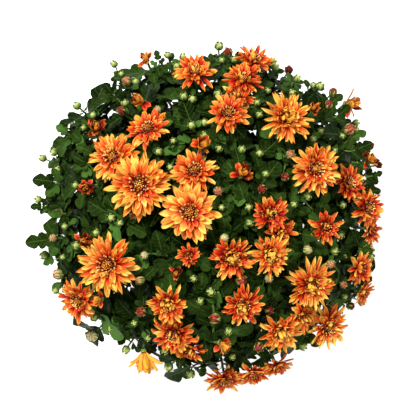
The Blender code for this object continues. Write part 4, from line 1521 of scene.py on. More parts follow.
class Growth:
    """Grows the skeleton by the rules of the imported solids, then the further twigs, buds and leaves."""

    def __init__(self) -> None:
        """Reads the blooms' solids from the frame and plans the stems."""
        self.named = [(f"bloom_{i + 1:02d}", bloom) for i, bloom in enumerate(BLOOMS)]
        self.named += [(f"opening_bloom_{i + 1:02d}", bloom) for i, bloom in enumerate(OPENING)]
        self.heads = {name: Solid.of_node(name) for name, bloom in self.named}
        self.stems = [
            Stem(on_circle(aim, (i + turn) / count), on_circle(foot, (i + turn) / count))
            for count, turn, aim, foot in (
                (PLAN.inner_stems, 0, PLAN.inner_aim, PLAN.inner_foot),
                (PLAN.outer_stems, PLAN.outer_turn, PLAN.outer_aim, PLAN.outer_foot),
            )
            for i in range(count)
        ]

    def beside(self, stem: Stem) -> list[Solid]:
        """The solids of all the other stems."""
        return [piece for other in self.stems if other is not stem for piece in other.solids]

    def attach(self, seat: Vector, facing: Vector, rule: tuple, shape: Callable, thick: float,
               skipped: str = "", loose: bool = False) -> Optional[tuple[Stem, Branch]]:
        """Grows a stalk to a seat from the nearest stem that has a clear way there.

        Args:
            seat: where the stalk ends.
            facing: the way that it arrives.
            rule: how far back it aims, its spans, and the shortest one.
            shape: makes the stalk's solid from its path.
            thick: the radius that it is drawn with.
            skipped: the bloom that it may touch.
            loose: whether it may pass through other stems' leaves and stalks.

        Returns:
            The stem and the new stalk, or None.
        """
        solids = [solid for name, solid in self.heads.items() if name != skipped]
        for stem in sorted(self.stems, key=lambda stem: math.dist((seat.x, seat.y), stem.aim)):
            others = solids if loose else solids + self.beside(stem)
            for branch in stem.ways_to(seat, facing, rule):
                piece = shape(branch.path)
                if piece.is_clear(others):
                    branch.thick = thick
                    stem.branches.append(branch)
                    stem.solids.append(piece)
                    return stem, branch
        return None

    def grow_bud(self, bud: Bud, thick: float, loose: bool = False) -> bool:
        """Grows a bud on its stalk.

        Args:
            bud: the bud.
            thick: the radius that its stalk is drawn with.
            loose: whether the stalk may pass through other stems' leaves and stalks.

        Returns:
            Whether it found a clear way.
        """
        seat, facing = bud.place()
        found = self.attach(seat, facing, BUD_RULE, lambda path: bud_stalk(bud, path), thick, loose=loose)
        if found:
            found[0].buds.append((bud, found[1]))
        return bool(found)

    def grow_solids(self) -> None:
        """Stalks, buds, skirt shoots and leaves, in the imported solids' own order."""
        for name, bloom in sorted(self.named, key=lambda item: -item[1].width):
            place, facing = bloom.place()
            stem = self.attach(
                place - facing * PLAN.cup_depth, facing, STALK_RULE, lambda path: bloom_stalk(bloom, path),
                PLAN.stalk_radius, name,
            )[0]
            stem.blooms.append(bloom)
        for bud in BUDS:
            self.grow_bud(bud, PLAN.pedicel_radius)
        for i in range(PLAN.skirt_shoots):
            x, y = on_circle(PLAN.skirt_radius, i / PLAN.skirt_shoots)
            way = Vector((x, y, 0)).normalized() + Vector((0, 0, 0.25 + 0.2 * (i % 2)))
            seat = Vector((x, y, PLAN.skirt_z + 0.012 * (i % 3)))
            self.attach(seat, way.normalized(), SHOOT_RULE, shoot_stalk, 1.3 * PLAN.pedicel_radius)
        self.grow_first_leaves()

    def leaf_places(self, branches: Sequence[Branch], spacing: float, chance: random.Random) -> list[tuple]:
        """Roots and sides for leaves along branches, about a golden turn apart, the outer ones first.

        Args:
            branches: what they grow on.
            spacing: how far apart they are along a branch.
            chance: the source of the first turn.

        Returns:
            The number of the branch, the share along it, the point, the direction and the side of each.
        """
        found = []
        turn = chance.uniform(0, FULL_TURN)
        for number, branch in enumerate(branches):
            run = sum((b - a).length for a, b in zip(branch.path, branch.path[1:]))
            count = max(1, int(run / spacing))
            for i in range(count):
                share = (i + 0.7) / (count + 0.4)
                point, direction, across = along(branch.path, share)
                turn += GOLDEN_TURN
                facet = round(turn / (math.pi / 2)) * (math.pi / 2)
                side = across * math.cos(facet) + direction.cross(across) * math.sin(facet)
                found.append((number, share, point, direction, side))
        return sorted(found, key=lambda item: DOME.z(item[2].x, item[2].y) - item[2].z)

    def grow_first_leaves(self) -> None:
        """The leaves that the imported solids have."""
        chance = random.Random(FIRST_LEAVES_SEED)
        seats = [(bloom.place()[0], bloom.width / 2) for name, bloom in self.named]
        grown: list[Leaf] = []
        for stem in self.stems:
            others = [*self.heads.values(), *self.beside(stem)]
            choices = []
            places = self.leaf_places(stem.branches[1:], PLAN.leaf_spacing, chance)
            for number, share, point, direction, side in places:
                beside = others + stem.solids[1:1 + number] + stem.solids[2 + number:]
                outward = outward_at(point).normalized()
                length = chance.uniform(PLAN.leaf_shortest, PLAN.leaf_longest)
                for swing in LEAF_SWINGS:
                    way = Matrix.Rotation(swing, 3, direction) @ side + direction * 0.45 + outward * 0.15
                    way.normalize()
                    tip = point + way * length
                    high = tip.z > DOME.z(tip.x, tip.y) + PLAN.leaf_headroom
                    far = math.hypot(tip.x, tip.y) > PLAN.leaf_reach
                    if abs(way.dot(outward)) > 0.9 or tip.z < PLAN.soil_top + 0.012 or high or far:
                        continue
                    leaf = Leaf.grown(stem.branches[1 + number], share, way, outward, length)
                    if leaf.solid.is_clear(beside):
                        choices.append(leaf)
            room = [
                min(
                    [(leaf.solid.centre - place).length - half for place, half in seats]
                    + [(leaf.solid.centre - other.solid.centre).length - PLAN.leaf_share for other in grown]
                )
                for leaf in choices
            ]
            chosen: list[Leaf] = []
            cost = [PLAN.leaf_depth_cost * DOME.depth(leaf.solid.centre) for leaf in choices]
            while choices and len(chosen) < PLAN.leaves_most:
                best = max(range(len(choices)), key=lambda i: room[i] - cost[i])
                leaf = choices.pop(best)
                room.pop(best)
                cost.pop(best)
                if not leaf.solid.is_clear([other.solid for other in chosen]):
                    continue
                chosen.append(leaf)
                for i, other in enumerate(choices):
                    room[i] = min(room[i], (other.solid.centre - leaf.solid.centre).length - PLAN.leaf_share)
            stem.leaves += chosen
            stem.solids += [leaf.solid for leaf in chosen]
            grown += chosen
        LOG.info("%d leaves as in the solids", len(grown))

    def grow_further_twigs(self, chance: random.Random) -> None:
        """Thin stalks with green buds between and round the blooms, which only the looks have.

        Args:
            chance: the source of their heights.
        """
        missed = 0
        thick = 0.8 * PLAN.pedicel_radius
        for x, y, *tones in FURTHER_BUDS:
            x, y = x / 1000, y / 1000
            tone = tones[0] if tones else None
            if any(math.dist((x, y), (bud.x, bud.y)) < 0.006 for bud in BUDS):
                continue
            width = chance.uniform(0.009, 0.011) if tones else chance.uniform(0.0075, 0.0095)
            lift = chance.uniform(-0.016, -0.005) - 0.012 * (math.hypot(x, y) > 0.14)
            missed += not self.grow_bud(Bud(x, y, width, lift, tone), thick, loose=True)
        for x, y, length in LEAFY_TIPS:
            x, y = x / 1000, y / 1000
            facing = Vector((x, y, 0.09)).normalized()
            seat = Vector((x, y, DOME.z(x, y) - 0.012))
            found = self.attach(seat, facing, BUD_RULE, shoot_stalk, thick, loose=True)
            missed += not found
            for share, aside, part in LEAFY_TIP_LEAVES if found else ():
                way = Matrix.Rotation(aside, 3, "Z") @ facing
                found[0].leaves.append(Leaf.grown(found[1], share, way, UP, part * length / 1000))
        LOG.info("%d further buds and leafy tips have no clear way", missed)

    def further_choices(self, chance: random.Random) -> list[tuple[Stem, Leaf]]:
        """Small leaves that could grow, each clear of the blooms, under the dome and over the potting mix.

        Args:
            chance: the source of their sizes and turns.

        Returns:
            The stem and the leaf of each.
        """
        rule = FURTHER_LEAVES
        heads = list(self.heads.values())
        buds = [bud for stem in self.stems for bud, branch in stem.buds]
        middles = np.array([bud.place()[0] + bud.place()[1] * bud.width / 2 for bud in buds])
        choices: list[tuple[Stem, Leaf]] = []
        for stem in self.stems:
            places = self.leaf_places(stem.branches, rule.spacing, chance)
            for number, share, point, direction, side in places:
                outward = (outward_at(point) + wander(chance, 0.3)).normalized()
                length = chance.uniform(rule.shortest, rule.longest)
                if math.hypot(point.x, point.y) >= rule.rim_from:
                    length *= rule.rim_share
                way = Matrix.Rotation(chance.uniform(0, FULL_TURN), 3, direction) @ side
                way = (way + direction * 0.35 + outward * 0.1).normalized()
                tip = point + way * length
                deep = DOME.z(tip.x, tip.y) - tip.z
                if abs(way.dot(outward)) > 0.85 or tip.z < PLAN.soil_top + 0.010 or deep < 0.0:
                    continue
                seen = seen_from_above(np.array([tip]))[0]
                bearing = math.degrees(math.atan2(seen[1], seen[0])) % 360
                if math.hypot(*seen) > np.interp(bearing / 10, range(len(RIM)), RIM) / 1000:
                    continue
                leaf = Leaf.grown(stem.branches[number], share, way, outward, length)
                centre = np.array(leaf.solid.centre)
                hides = np.hypot(*(middles - centre)[:, :2].T) < 0.28 * length + 0.002
                if (hides & (middles[:, 2] < centre[2] + 0.003)).any():
                    continue
                if leaf.solid.is_clear(heads):
                    choices.append((stem, leaf))
        return choices

    def grow_further_leaves(self, chance: random.Random) -> None:
        """Small leaves: first in the widest gaps of the crown, then where least hides the ground from above.

        Args:
            chance: the source of their sizes and turns.
        """
        rule = FURTHER_LEAVES
        choices = self.further_choices(chance)
        centres = np.array([leaf.solid.centre for stem, leaf in choices], float)
        grown = [leaf for stem in self.stems for leaf in stem.leaves]
        room = np.full(len(choices), 1.0)
        for leaf in grown:
            room = np.minimum(room, np.linalg.norm(centres - np.array(leaf.solid.centre), axis=1) - 0.004)
        depth = np.array([DOME.depth(leaf.solid.centre) for stem, leaf in choices])
        steps = range(-rule.spots, rule.spots + 1)
        spots = np.array([
            (rule.spot * i, rule.spot * j) for i in steps for j in steps
            if math.hypot(i, j) <= rule.spots - 1.5
        ])
        need = np.ones(len(spots))
        veils = [(leaf.solid.centre, 0.30 * leaf.length, 0.5) for leaf in grown]
        veils += [(bloom.place()[0], 0.36 * bloom.width, 0.15) for name, bloom in self.named]
        for centre, radius, left in veils:
            need[np.hypot(*(spots - seen_from_above(np.array([centre]))).T) < radius] *= left
        for bare in BARE_SPOTS:
            need[np.hypot(*(spots - np.array(bare) / 1000).T) < rule.bare_radius] = rule.bare_need
        lengths = np.array([leaf.length for stem, leaf in choices])
        seen = seen_from_above(centres)
        gaps = np.hypot(seen[:, :1] - spots[:, 0], seen[:, 1:] - spots[:, 1])
        covers = gaps < 0.30 * lengths[:, None]
        gain = covers @ need
        for number in range(rule.spread + rule.cover):
            in_gap = number < rule.spread
            best = int(np.argmax(room - 0.14 * depth if in_gap else gain * (1 - 5 * depth)))
            stem, leaf = choices[best]
            stem.leaves.append(leaf)
            room = np.minimum(room, np.linalg.norm(centres - centres[best], axis=1))
            room[best] = -1.0
            hidden = np.flatnonzero(covers[best])
            gain -= covers[:, hidden] @ (0.5 * need[hidden])
            gain[best] = -1e6
            need[hidden] *= 0.5
        LOG.info("%d further leaves, out of %d places", rule.spread + rule.cover, len(choices))


# The pieces

@dataclass(frozen=True)
class PetalRule:
    """How petals are laid: sizes in widths of their bloom, odds of a curl, and ways to miss a neighbour.

    Each of the tries is how much steeper the petal stands, in radians, and the share of its length.
    """

    core_radius: float = 0.070
    core_radius_rise: float = 0.055
    core_height: float = 0.014
    core_height_rise: float = 0.060
    curl: float = 0.4
    cup_curl: float = 0.5
    cup_shag: float = 0.2
    tries: tuple = ((0, 1), (-0.2, 1), (0.25, 1), (0.2, 0.8), (0, 0.7), (0.3, 0.55))


# Rings of quills round the disc: how many, their rise in degrees, their length and where they stand
QUILL_RINGS = ((14, 28, 0.100, 0.092), (10, 44, 0.085, 0.074), (6, 60, 0.070, 0.056))
FEW_QUILL_RINGS = ((10, 32, 0.105, 0.092), (6, 52, 0.090, 0.065))
FEW_QUILLS_BELOW = 0.038
# The core's rise in widths of its bloom, and the UVs of its faces, which give it the colour of a petal's base
CORE_RISE = 0.052
CORE_UV = (0.5, 0.12)


@dataclass
class BloomPiece:
    """One bloom's petals, quills and disc florets."""

    bloom: Bloom
    name: str
    patterns: Patterns
    neighbours: list[Solid]
    chance: random.Random
    rule: PetalRule = PetalRule()
    sheaf: Sheaf = field(default_factory=Sheaf)

    def __post_init__(self) -> None:
        """Sees whether it is a cup, and leans a cup further over."""
        self.cupped = self.name.startswith("opening")
        self.wide_cup = self.cupped and self.bloom.width > WIDE_CUP
        self.to_world = self.bloom.to_world()
        if self.cupped:
            lean = Matrix.Rotation(self.chance.uniform(0.3, 0.7), 4, "X")
            self.to_world = self.to_world @ Matrix.Rotation(self.chance.uniform(0, FULL_TURN), 4, "Z") @ lean

    def is_free(self, root: Vector, tip: Vector) -> bool:
        """Whether the line of a petal meets none of the neighbours' solids."""
        line = tip - root
        return not any(
            (other.centre - root).length < other.radius + line.length
            and other.tree.ray_cast(root, line, line.length)[0] is not None
            for other in self.neighbours
        )

    def add_ring(self, ring: Ring, petals: int) -> None:
        """Lays one ring of petals.

        Args:
            ring: the ring.
            petals: how many of them there are.
        """
        rule = self.rule
        to_world = self.to_world
        width = self.bloom.width
        vary = self.chance.uniform
        shag = rule.cup_shag if self.cupped else self.bloom.shag
        # A cup's petals carry painted shade on their inner sides.
        skin = Skin.DEEP_PETAL if self.cupped else Skin.PETAL
        curl_odds = rule.cup_curl if self.cupped else rule.curl * shag * (ring.level > 0.1)
        foot = rule.core_radius + rule.core_radius_rise * ring.level
        for index in range(petals):
            turn = vary(-1, 1) * (0.20 + 0.25 * shag)
            azimuth = (index + ring.phase + turn) * (FULL_TURN / petals)
            rise = math.radians(ring.rise + vary(-5, 6) * (1 + 2.2 * shag))
            reach = ring.reach * vary(0.99 - 0.24 * shag, 1.13)
            curled = self.chance.random() < curl_odds
            shapes = (self.patterns.incurved if curled else self.patterns.petals)[skin]
            for shift, share in rule.tries:
                out, aside, way = petal_ways(azimuth, rise + shift)
                root = out * foot + UP * (rule.core_height + rule.core_height_rise * ring.level)
                length = (0.5 * reach - rule.core_radius - rule.core_radius_rise * ring.level) * share
                if self.cupped:
                    root, length = root * 0.9, 0.62 * reach * share
                root, length = root * width, length * width
                if ring.level > 0.6 or self.is_free(to_world @ root, to_world @ (root + way * length)):
                    break
            half = ring.half * width * vary(0.82, 1.14) * (1.30 - 0.32 * shag)
            half *= WIDE_CUP_NARROWING if self.wide_cup else 1
            normal = way.cross(aside) + aside * vary(-1, 1) * (0.25 + 0.5 * shag)
            tint = self.bloom.gold + vary(-0.28, 0.28) - 0.12 * ring.level
            matrix = to_world @ standing(root, way, normal, length, half)
            self.sheaf.lay(self.chance.choice(shapes), matrix, min(1.0, max(0.0, tint)))

    def add_tuft(self) -> None:
        """Lays short golden petals that curl over the heart of a shaggy bloom."""
        width = self.bloom.width
        vary = self.chance.uniform
        for _ in range(int(52 * (self.bloom.shag - 0.45))):
            rise = math.radians(vary(32, 78))
            out, aside, way = petal_ways(vary(0, FULL_TURN), rise)
            root = out * vary(0.01, 0.13) * width + UP * (0.08 * width)
            normal = way.cross(aside) + aside * vary(-0.6, 0.6)
            length = vary(0.15, 0.28) * width
            half = vary(0.03, 0.045) * width
            tint = min(1.0, self.bloom.gold + vary(0.1, 0.6))
            shape = self.chance.choice(self.patterns.incurved[Skin.PETAL])
            self.sheaf.lay(shape, self.to_world @ standing(root, way, normal, length, half), tint)

    def add_heart(self) -> None:
        """Lays the rings of dark quills and the florets of the disc."""
        width = self.bloom.width
        vary = self.chance.uniform
        for count, rise, length, out_share in FEW_QUILL_RINGS if width < FEW_QUILLS_BELOW else QUILL_RINGS:
            for index in range(count):
                azimuth = (index + vary(-0.35, 0.35)) * FULL_TURN / count
                out, aside, way = petal_ways(azimuth, math.radians(rise + vary(-10, 10)))
                root = out * out_share * width + UP * (0.085 * width)
                grown = length * width * vary(0.8, 1.15)
                shape = self.chance.choice(self.patterns.quills)
                matrix = standing(root, way, way.cross(aside), grown, 0.0175 * width)
                self.sheaf.lay(shape, self.to_world @ matrix, vary(0.4, 0.8))
        florets = 22 if width > 0.05 else 16 if width > 0.03 else 9
        size = 0.028 * width
        for index in range(florets):
            share = (index + 0.5) / florets
            out, aside, way = petal_ways(index * GOLDEN_TURN, math.pi / 2 - 0.5 * share)
            root = out * 0.062 * width * math.sqrt(share) + UP * (width * (0.105 - 0.020 * share))
            matrix = facing_matrix(root, way) @ Matrix.Diagonal((size, size, 1.3 * size, 1))
            self.sheaf.lay(self.patterns.floret, self.to_world @ matrix, vary(0.30, 0.70))

    def add_core(self) -> None:
        """Lays the low rounded core that the petals grow from."""
        bm = bmesh.new()
        wide = 0.085 if self.cupped else 0.135
        bmesh.ops.create_uvsphere(bm, u_segments=14, v_segments=6, radius=self.bloom.width)
        bmesh.ops.scale(bm, vec=(wide, wide, CORE_RISE), verts=bm.verts[:])
        bmesh.ops.translate(bm, vec=(0, 0, CORE_RISE * self.bloom.width), verts=bm.verts[:])
        set_uv(bm, lambda corner: CORE_UV)
        self.sheaf.lay(Shape.taken(bm, Skin.QUILL), self.to_world, 0.4)

    def add_loose_petal(self) -> None:
        """Lays one petal that has folded out of a cup."""
        width = self.bloom.width
        vary = self.chance.uniform
        rise = math.radians(vary(-10, 40) + 40 * self.wide_cup)
        out, aside, way = petal_ways(vary(0, FULL_TURN), rise)
        root = (out * 0.055 + UP * 0.03) * width
        up = self.to_world.to_3x3().inverted() @ UP
        normal = up - way * up.dot(way) + aside * vary(-0.3, 0.3)
        length = vary(0.50, 0.72) * width * (1 + 0.3 * self.wide_cup)
        matrix = standing(root, way, normal, length, (0.08 if self.wide_cup else 0.15) * width)
        shape = self.chance.choice(self.patterns.petals[Skin.PETAL])
        self.sheaf.lay(shape, self.to_world @ matrix, 0.5 * self.bloom.gold)

    def build(self) -> bpy.types.Object:
        """Builds the bloom.

        Returns:
            The piece.
        """
        habit = Habit.CUPPED if self.cupped else self.bloom.habit()
        petals = habit.value + (WIDE_CUP_FURTHER_PETALS if self.wide_cup else 0)
        self.add_core()
        for ring in RINGS[habit]:
            self.add_ring(ring, petals)
        self.add_heart()
        if self.cupped:
            for _ in range(self.chance.choice((1, 2, 3))):
                self.add_loose_petal()
            return self.sheaf.piece(f"cup_of_{self.name}", self.name, "petal_deep_orange")
        self.add_tuft()
        return self.sheaf.piece(f"petals_of_{self.name}", self.name, "petal_orange")


# A bloom's cup: its (height, radius) outline in radii of the core, from its foot, which has this radius
CUP_OUTLINE = ((-0.95, 0.42), (-0.55, 0.80), (-0.15, 0.98), (0.12, 0.90))
CUP_FOOT = (-1.25, 0.0012)
# Its two rings of scales: their rise in degrees, how far out and how high they stand, their length and turn
CUP_SCALES = ((28, 0.30, -1.1, 1.15, 0.0), (48, 0.66, -0.72, 1.1, 0.45))
CUP_SCALES_ROUND = 7
# Where small leaves may grow on a bud's stalk, as shares of it
BRACT_SHARES = (0.45, 0.55, 0.62, 0.70, 0.78, 0.85, 0.92)
# Buds further out than this are on the rim, where their stalks have more small leaves
BUD_RIM_FROM = 0.140


@dataclass
class StemPiece:
    """One stem with its stalks, cups, buds, bracts and leaves."""

    stem: Stem
    number: int
    patterns: Patterns
    chance: random.Random
    sheaf: Sheaf = field(default_factory=Sheaf)

    def add_rod(self, path: Sequence[Vector], radii: Sequence[float], sides: int) -> None:
        """Lays a round stalk along a path.

        Args:
            path: its points.
            radii: its radius at each of them.
            sides: how many sides it has.
        """
        bm = bmesh.new()
        tube(bm, path, radii, sides)
        bmesh.ops.recalc_face_normals(bm, faces=bm.faces[:])
        self.sheaf.lay(Shape.taken(bm, Skin.STALK), Matrix.Identity(4), self.chance.random())

    def add_stalks(self) -> None:
        """Lays the stem's own axis and every stalk and shoot on it."""
        main, *stalks = self.stem.branches
        path = [self.stem.base] + [main.at(i / 10) for i in range(11)]
        self.add_rod(path, [PLAN.stem_radius * (1 - 0.03 * i) for i in range(len(path))], 10)
        for branch in stalks:
            radii = [branch.thick * (1.35 - 0.5 * i / 8) for i in range(9)]
            self.add_rod([branch.at(i / 8) for i in range(9)], radii, 6)

    def add_cup(self, bloom: Bloom) -> None:
        """Lays the green cup under a bloom, with its scales.

        Args:
            bloom: the bloom.
        """
        place, facing = bloom.place()
        core = bloom.core()
        path = [place + facing * core * height for height, radius in (CUP_FOOT, *CUP_OUTLINE)]
        self.add_rod(path, [CUP_FOOT[1]] + [radius * core for height, radius in CUP_OUTLINE], 10)
        to_world = bloom.to_world()
        for rise, out_share, height, reach, turn in CUP_SCALES:
            for index in range(CUP_SCALES_ROUND):
                azimuth = index * FULL_TURN / CUP_SCALES_ROUND + turn
                out, aside, way = petal_ways(azimuth, math.radians(rise))
                root = out * core * out_share + UP * (core * height)
                matrix = to_world @ standing(root, way, way.cross(aside), core * reach, 1.4 * core)
                self.sheaf.lay(self.patterns.scale, matrix, self.chance.random())

    def add_bud(self, bud: Bud, branch: Branch) -> None:
        """Lays a bud at the end of its stalk, with small leaves below it.

        Args:
            bud: the bud.
            branch: its stalk.
        """
        seat, facing = bud.place()
        half = bud.width / 2
        shape, loose, slim, tint = self.patterns.colour_bud, 0.6, 0.92, bud.tone
        if bud.tone is None:
            shape, loose, slim, tint = self.patterns.green_bud, 0.35, 1.0, 0.5
        lean = (facing + wander(self.chance, loose)).normalized()
        turn = Matrix.Rotation(self.chance.uniform(0, FULL_TURN), 4, "Z")
        wide = half * self.chance.uniform(0.76, 0.90) * slim
        matrix = facing_matrix(seat + facing * half, lean) @ turn
        self.sheaf.lay(shape, matrix @ Matrix.Diagonal((wide, wide, half, 1)), tint)
        gap_odds = 0.15 if math.hypot(bud.x, bud.y) > BUD_RIM_FROM else 0.55
        for share in BRACT_SHARES:
            if self.chance.random() < gap_odds:
                continue
            way = wander(self.chance, 1) + facing * 0.5
            length = self.chance.uniform(0.008, 0.015) * (1.3 - 0.4 * share)
            matrix = standing(branch.at(share), way, facing, length, length)
            self.sheaf.lay(self.patterns.bract, matrix, self.chance.uniform(0.4, 0.9))

    def add_leaves(self) -> None:
        """Lays the leaves. Each leaf's tint is a random tone, with painted shade for leaves deeper in the
        crown and painted light for the leaves of the left rim.
        """
        for leaf in self.stem.leaves:
            root = leaf.branch.at(leaf.share)
            length = leaf.length * (0.80 if leaf.length > PLAN.leaf_shortest else 1.0)
            matrix = standing(root, leaf.way, leaf.normal, length, length)
            depth = DOME.depth(root + leaf.way * leaf.length * 0.6)
            # Painted shade: leaves deeper under the dome get a lower tint and so a darker green.
            tint = 0.36 - 8.0 * max(depth, -0.01) + self.chance.uniform(-0.32, 0.36)
            # Painted light: leaves on the left rim, the side of the key light, get a higher tint and so a
            # paler green.
            tint += 1.4 * max(0.0, -root.x - 0.09)
            tint += 0.5 * (self.chance.random() < 0.10)
            self.sheaf.lay(self.chance.choice(self.patterns.leaves), matrix, min(1.0, max(0.0, tint)))

    def build(self) -> bpy.types.Object:
        """Builds the stem.

        Returns:
            The piece.
        """
        self.add_stalks()
        for bloom in self.stem.blooms:
            self.add_cup(bloom)
        for bud, branch in self.stem.buds:
            self.add_bud(bud, branch)
        self.add_leaves()
        name = f"leafy_stem_{self.number:02d}"
        return self.sheaf.piece(f"foliage_of_{name[6:]}", name, "leaf_green")


@dataclass(frozen=True)
class PotPiece:
    """The moulded pot: a plain tapered wall, a turned-out rim, a foot ring and drain holes."""

    height: float = 0.148
    base: float = 0.072
    neck: float = 0.094
    rim: float = 0.101
    rim_depth: float = 0.018
    wall: float = 0.0024
    foot_rise: float = 0.003
    foot_width: float = 0.007
    boss: float = 0.016
    holes: int = 6
    hole_radius: float = 0.006
    hole_circle: float = 0.046
    steps: int = 96

    def outline(self) -> list[tuple[float, float]]:
        """Draws the wall, from the axis underneath, round the rim, to the axis inside.

        Returns:
            Its (radius, height) points.
        """
        floor_top = self.foot_rise + self.wall
        neck_z = self.height - self.rim_depth
        foot = self.base - self.foot_width
        return [
            (0, 0), (self.boss, 0), (self.boss + 0.002, self.foot_rise), (foot - 0.002, self.foot_rise),
            (foot, 0), (self.base - 0.0015, 0), (self.base - 0.0004, 0.0004), (self.base, 0.0015),
            (self.neck, neck_z - 0.0005), (self.neck + 0.001, neck_z + 0.0002),
            (self.rim - 0.0018, neck_z + 0.0014), (self.rim - 0.0009, neck_z + 0.0026),
            (self.rim - 0.0001, self.height - 0.0012), (self.rim - 0.0008, self.height - 0.0002),
            (self.rim - 0.0020, self.height), (self.rim - 0.0034, self.height - 0.0002),
            (self.rim - 0.0041, self.height - 0.0012), (self.neck - self.wall, neck_z),
            (self.base - self.wall, floor_top), (0, floor_top),
        ]

    def build(self) -> bpy.types.Object:
        """Spins the outline, cuts the drain holes and dresses the pot.

        Returns:
            The piece.
        """
        wall = placed("pot_wall", as_mesh("pot_wall", spun(self.outline(), self.steps)))
        cutter = bmesh.new()
        for number in range(self.holes):
            place = on_circle(self.hole_circle, number / self.holes)
            bmesh.ops.create_cone(
                cutter, cap_ends=True, segments=24, radius1=self.hole_radius, radius2=self.hole_radius,
                depth=0.03, matrix=Matrix.Translation((*place, 0.004)),
            )
        pins = placed("pot_pins", as_mesh("pot_pins", cutter))
        step = wall.modifiers.new("drain", "BOOLEAN")
        step.operation = "DIFFERENCE"
        step.solver = "EXACT"
        step.object = pins
        bpy.context.view_layer.update()
        bm = bmesh.new()
        bm.from_mesh(wall.evaluated_get(bpy.context.evaluated_depsgraph_get()).to_mesh())
        for item in (wall, pins):
            bpy.data.objects.remove(item)
        sheaf = Sheaf()
        sheaf.lay(Shape.taken(bm, Skin.PLASTIC), Matrix.Identity(4))
        return sheaf.piece("moulded_pot", "pot", "pot_plastic")


@dataclass(frozen=True)
class MixPiece:
    """The potting mix: a mound with an uneven top and loose bits of bark, peat and perlite on it."""

    low_radius: float = 0.0690
    edge_radius: float = 0.0900
    floor: float = 0.0057
    edge_z: float = 0.129
    top: float = 0.134
    bits: int = 900

    def build(self, patterns: Patterns, chance: random.Random) -> bpy.types.Object:
        """Spins the mound, roughens it and scatters the bits.

        Args:
            patterns: the shapes that are laid many times.
            chance: the source of the unevenness.

        Returns:
            The piece.
        """
        radii = [self.edge_radius * (1 - i / 12) for i in range(1, 13)]
        outline = [(0, self.floor), (self.low_radius, self.floor), (self.edge_radius, self.edge_z)]
        bm = spun(outline + [(radius, self.mound(radius)) for radius in radii], 64)
        for corner in bm.verts:
            if corner.co.z > self.edge_z + 0.0004:
                corner.co.z += chance.uniform(-0.0012, 0.0012)
        sheaf = Sheaf()
        sheaf.lay(Shape.taken(bm, Skin.MIX), Matrix.Identity(4), 0.2)
        for _ in range(self.bits):
            radius = 0.087 * math.sqrt(chance.random())
            x, y = on_circle(radius, chance.random())
            size = chance.uniform(0.0008, 0.0024)
            axis = Vector((x, y, 0.05)).normalized()
            matrix = Matrix.Translation((x, y, self.mound(radius) + 0.2 * size))
            matrix = matrix @ Matrix.Rotation(chance.uniform(0, FULL_TURN), 4, axis)
            matrix = matrix @ Matrix.Diagonal((size * chance.uniform(1.0, 2.2), size, 0.6 * size, 1))
            sheaf.lay(patterns.bit, matrix, chance.random())
        return sheaf.piece("loose_potting_mix", "potting_mix", "potting_mix")

    def mound(self, radius: float) -> float:
        """The mound's height at a radius."""
        share = radius / self.edge_radius
        return self.top - (self.top - self.edge_z) * share * share


@dataclass(frozen=True)
class Light:
    """A square soft light: its name, where it hangs in metres, its side in metres and its power in watts."""

    name: str
    place: tuple[float, float, float]
    side: float
    power: float


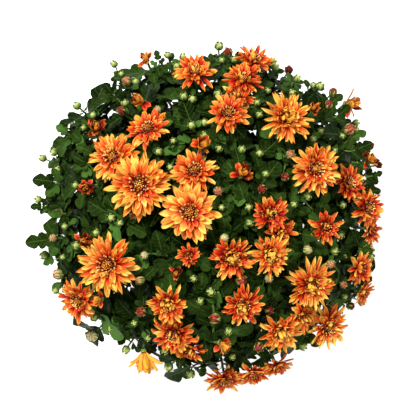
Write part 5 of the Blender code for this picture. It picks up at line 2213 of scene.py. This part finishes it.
@dataclass(frozen=True)
class Studio:
    """The floor, the lights and the camera."""

    floor_colour: str = "#F4F4F2"
    floor_glow: float = 0.66
    surround: float = 0.30
    lights: tuple[Light, ...] = (
        Light("key", (-0.7, 0.9, 2.2), 0.5, 57.0), Light("fill", (1.2, -0.8, 1.6), 1.6, 12.0)
    )
    lit_point: tuple[float, float, float] = (0, 0, 0.2)
    sensor: float = 36.0
    view_width: float = 0.416

    def build(self) -> None:
        """Builds them all."""
        self.add_floor()
        self.add_lights()
        self.add_camera()

    def add_floor(self) -> None:
        """A plain pale floor, just under the foot of the pot."""
        bm = bmesh.new()
        bmesh.ops.create_grid(bm, x_segments=1, y_segments=1, size=40)
        floor = placed("studio_floor", as_mesh("studio_floor", bm))
        floor.location.z = -0.0005
        paper = bpy.data.materials.new("white_paper_sweep")
        paper.use_nodes = True
        shader = paper.node_tree.nodes["Principled BSDF"]
        shader.inputs["Base Color"].default_value = linear(self.floor_colour)
        shader.inputs["Roughness"].default_value = 0.9
        shader.inputs["Emission Color"].default_value = (1, 1, 1, 1)
        shader.inputs["Emission Strength"].default_value = self.floor_glow
        floor.data.materials.append(paper)

    def add_lights(self) -> None:
        """A large soft light from the upper left, a weak one across from it, and an even white surround."""
        world = bpy.data.worlds.new("studio")
        world.use_nodes = True
        background = world.node_tree.nodes["Background"]
        background.inputs["Color"].default_value = (1, 1, 1, 1)
        background.inputs["Strength"].default_value = self.surround
        bpy.context.scene.world = world
        # The standard view keeps the petals' oranges as strong and the paper as white as in the photograph
        bpy.context.scene.view_settings.view_transform = "Standard"
        for light in self.lights:
            data = bpy.data.lights.new(light.name, "AREA")
            data.size = light.side
            data.energy = light.power
            lamp = placed(light.name, data)
            lamp.location = light.place
            towards = Vector(self.lit_point) - Vector(light.place)
            lamp.rotation_euler = towards.to_track_quat("-Z", "Y").to_euler()

    def add_camera(self) -> None:
        """A long lens straight above, 416 mm across at the crown, as in the photograph."""
        camera = bpy.data.cameras.new("camera")
        camera.sensor_width = self.sensor
        camera.lens = self.sensor * EYE_RANGE / self.view_width
        camera.clip_end = 20
        eye = placed("camera", camera)
        eye.location = (*EYE_OVER, EYE_HEIGHT)
        bpy.context.scene.camera = eye


def main() -> None:
    """Builds the studio and every piece."""
    logging.basicConfig(level=logging.INFO, format="%(name)s: %(message)s")
    Studio().build()
    patterns = Patterns(random.Random(5))
    PotPiece().build()
    MixPiece().build(patterns, random.Random(7))
    growth = Growth()
    growth.grow_solids()
    growth.grow_further_twigs(random.Random(17))
    growth.grow_further_leaves(random.Random(23))
    for number, (name, bloom) in enumerate(growth.named):
        neighbours = [
            growth.heads[other] for other, beside in growth.named
            if other != name and beside.lift > bloom.lift - 0.002
        ]
        BloomPiece(bloom, name, patterns, neighbours, random.Random(100 + number)).build()
    for number, stem in enumerate(growth.stems):
        StemPiece(stem, number + 1, patterns, random.Random(200 + number)).build()
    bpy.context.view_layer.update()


if __name__ == "__main__":
    main()
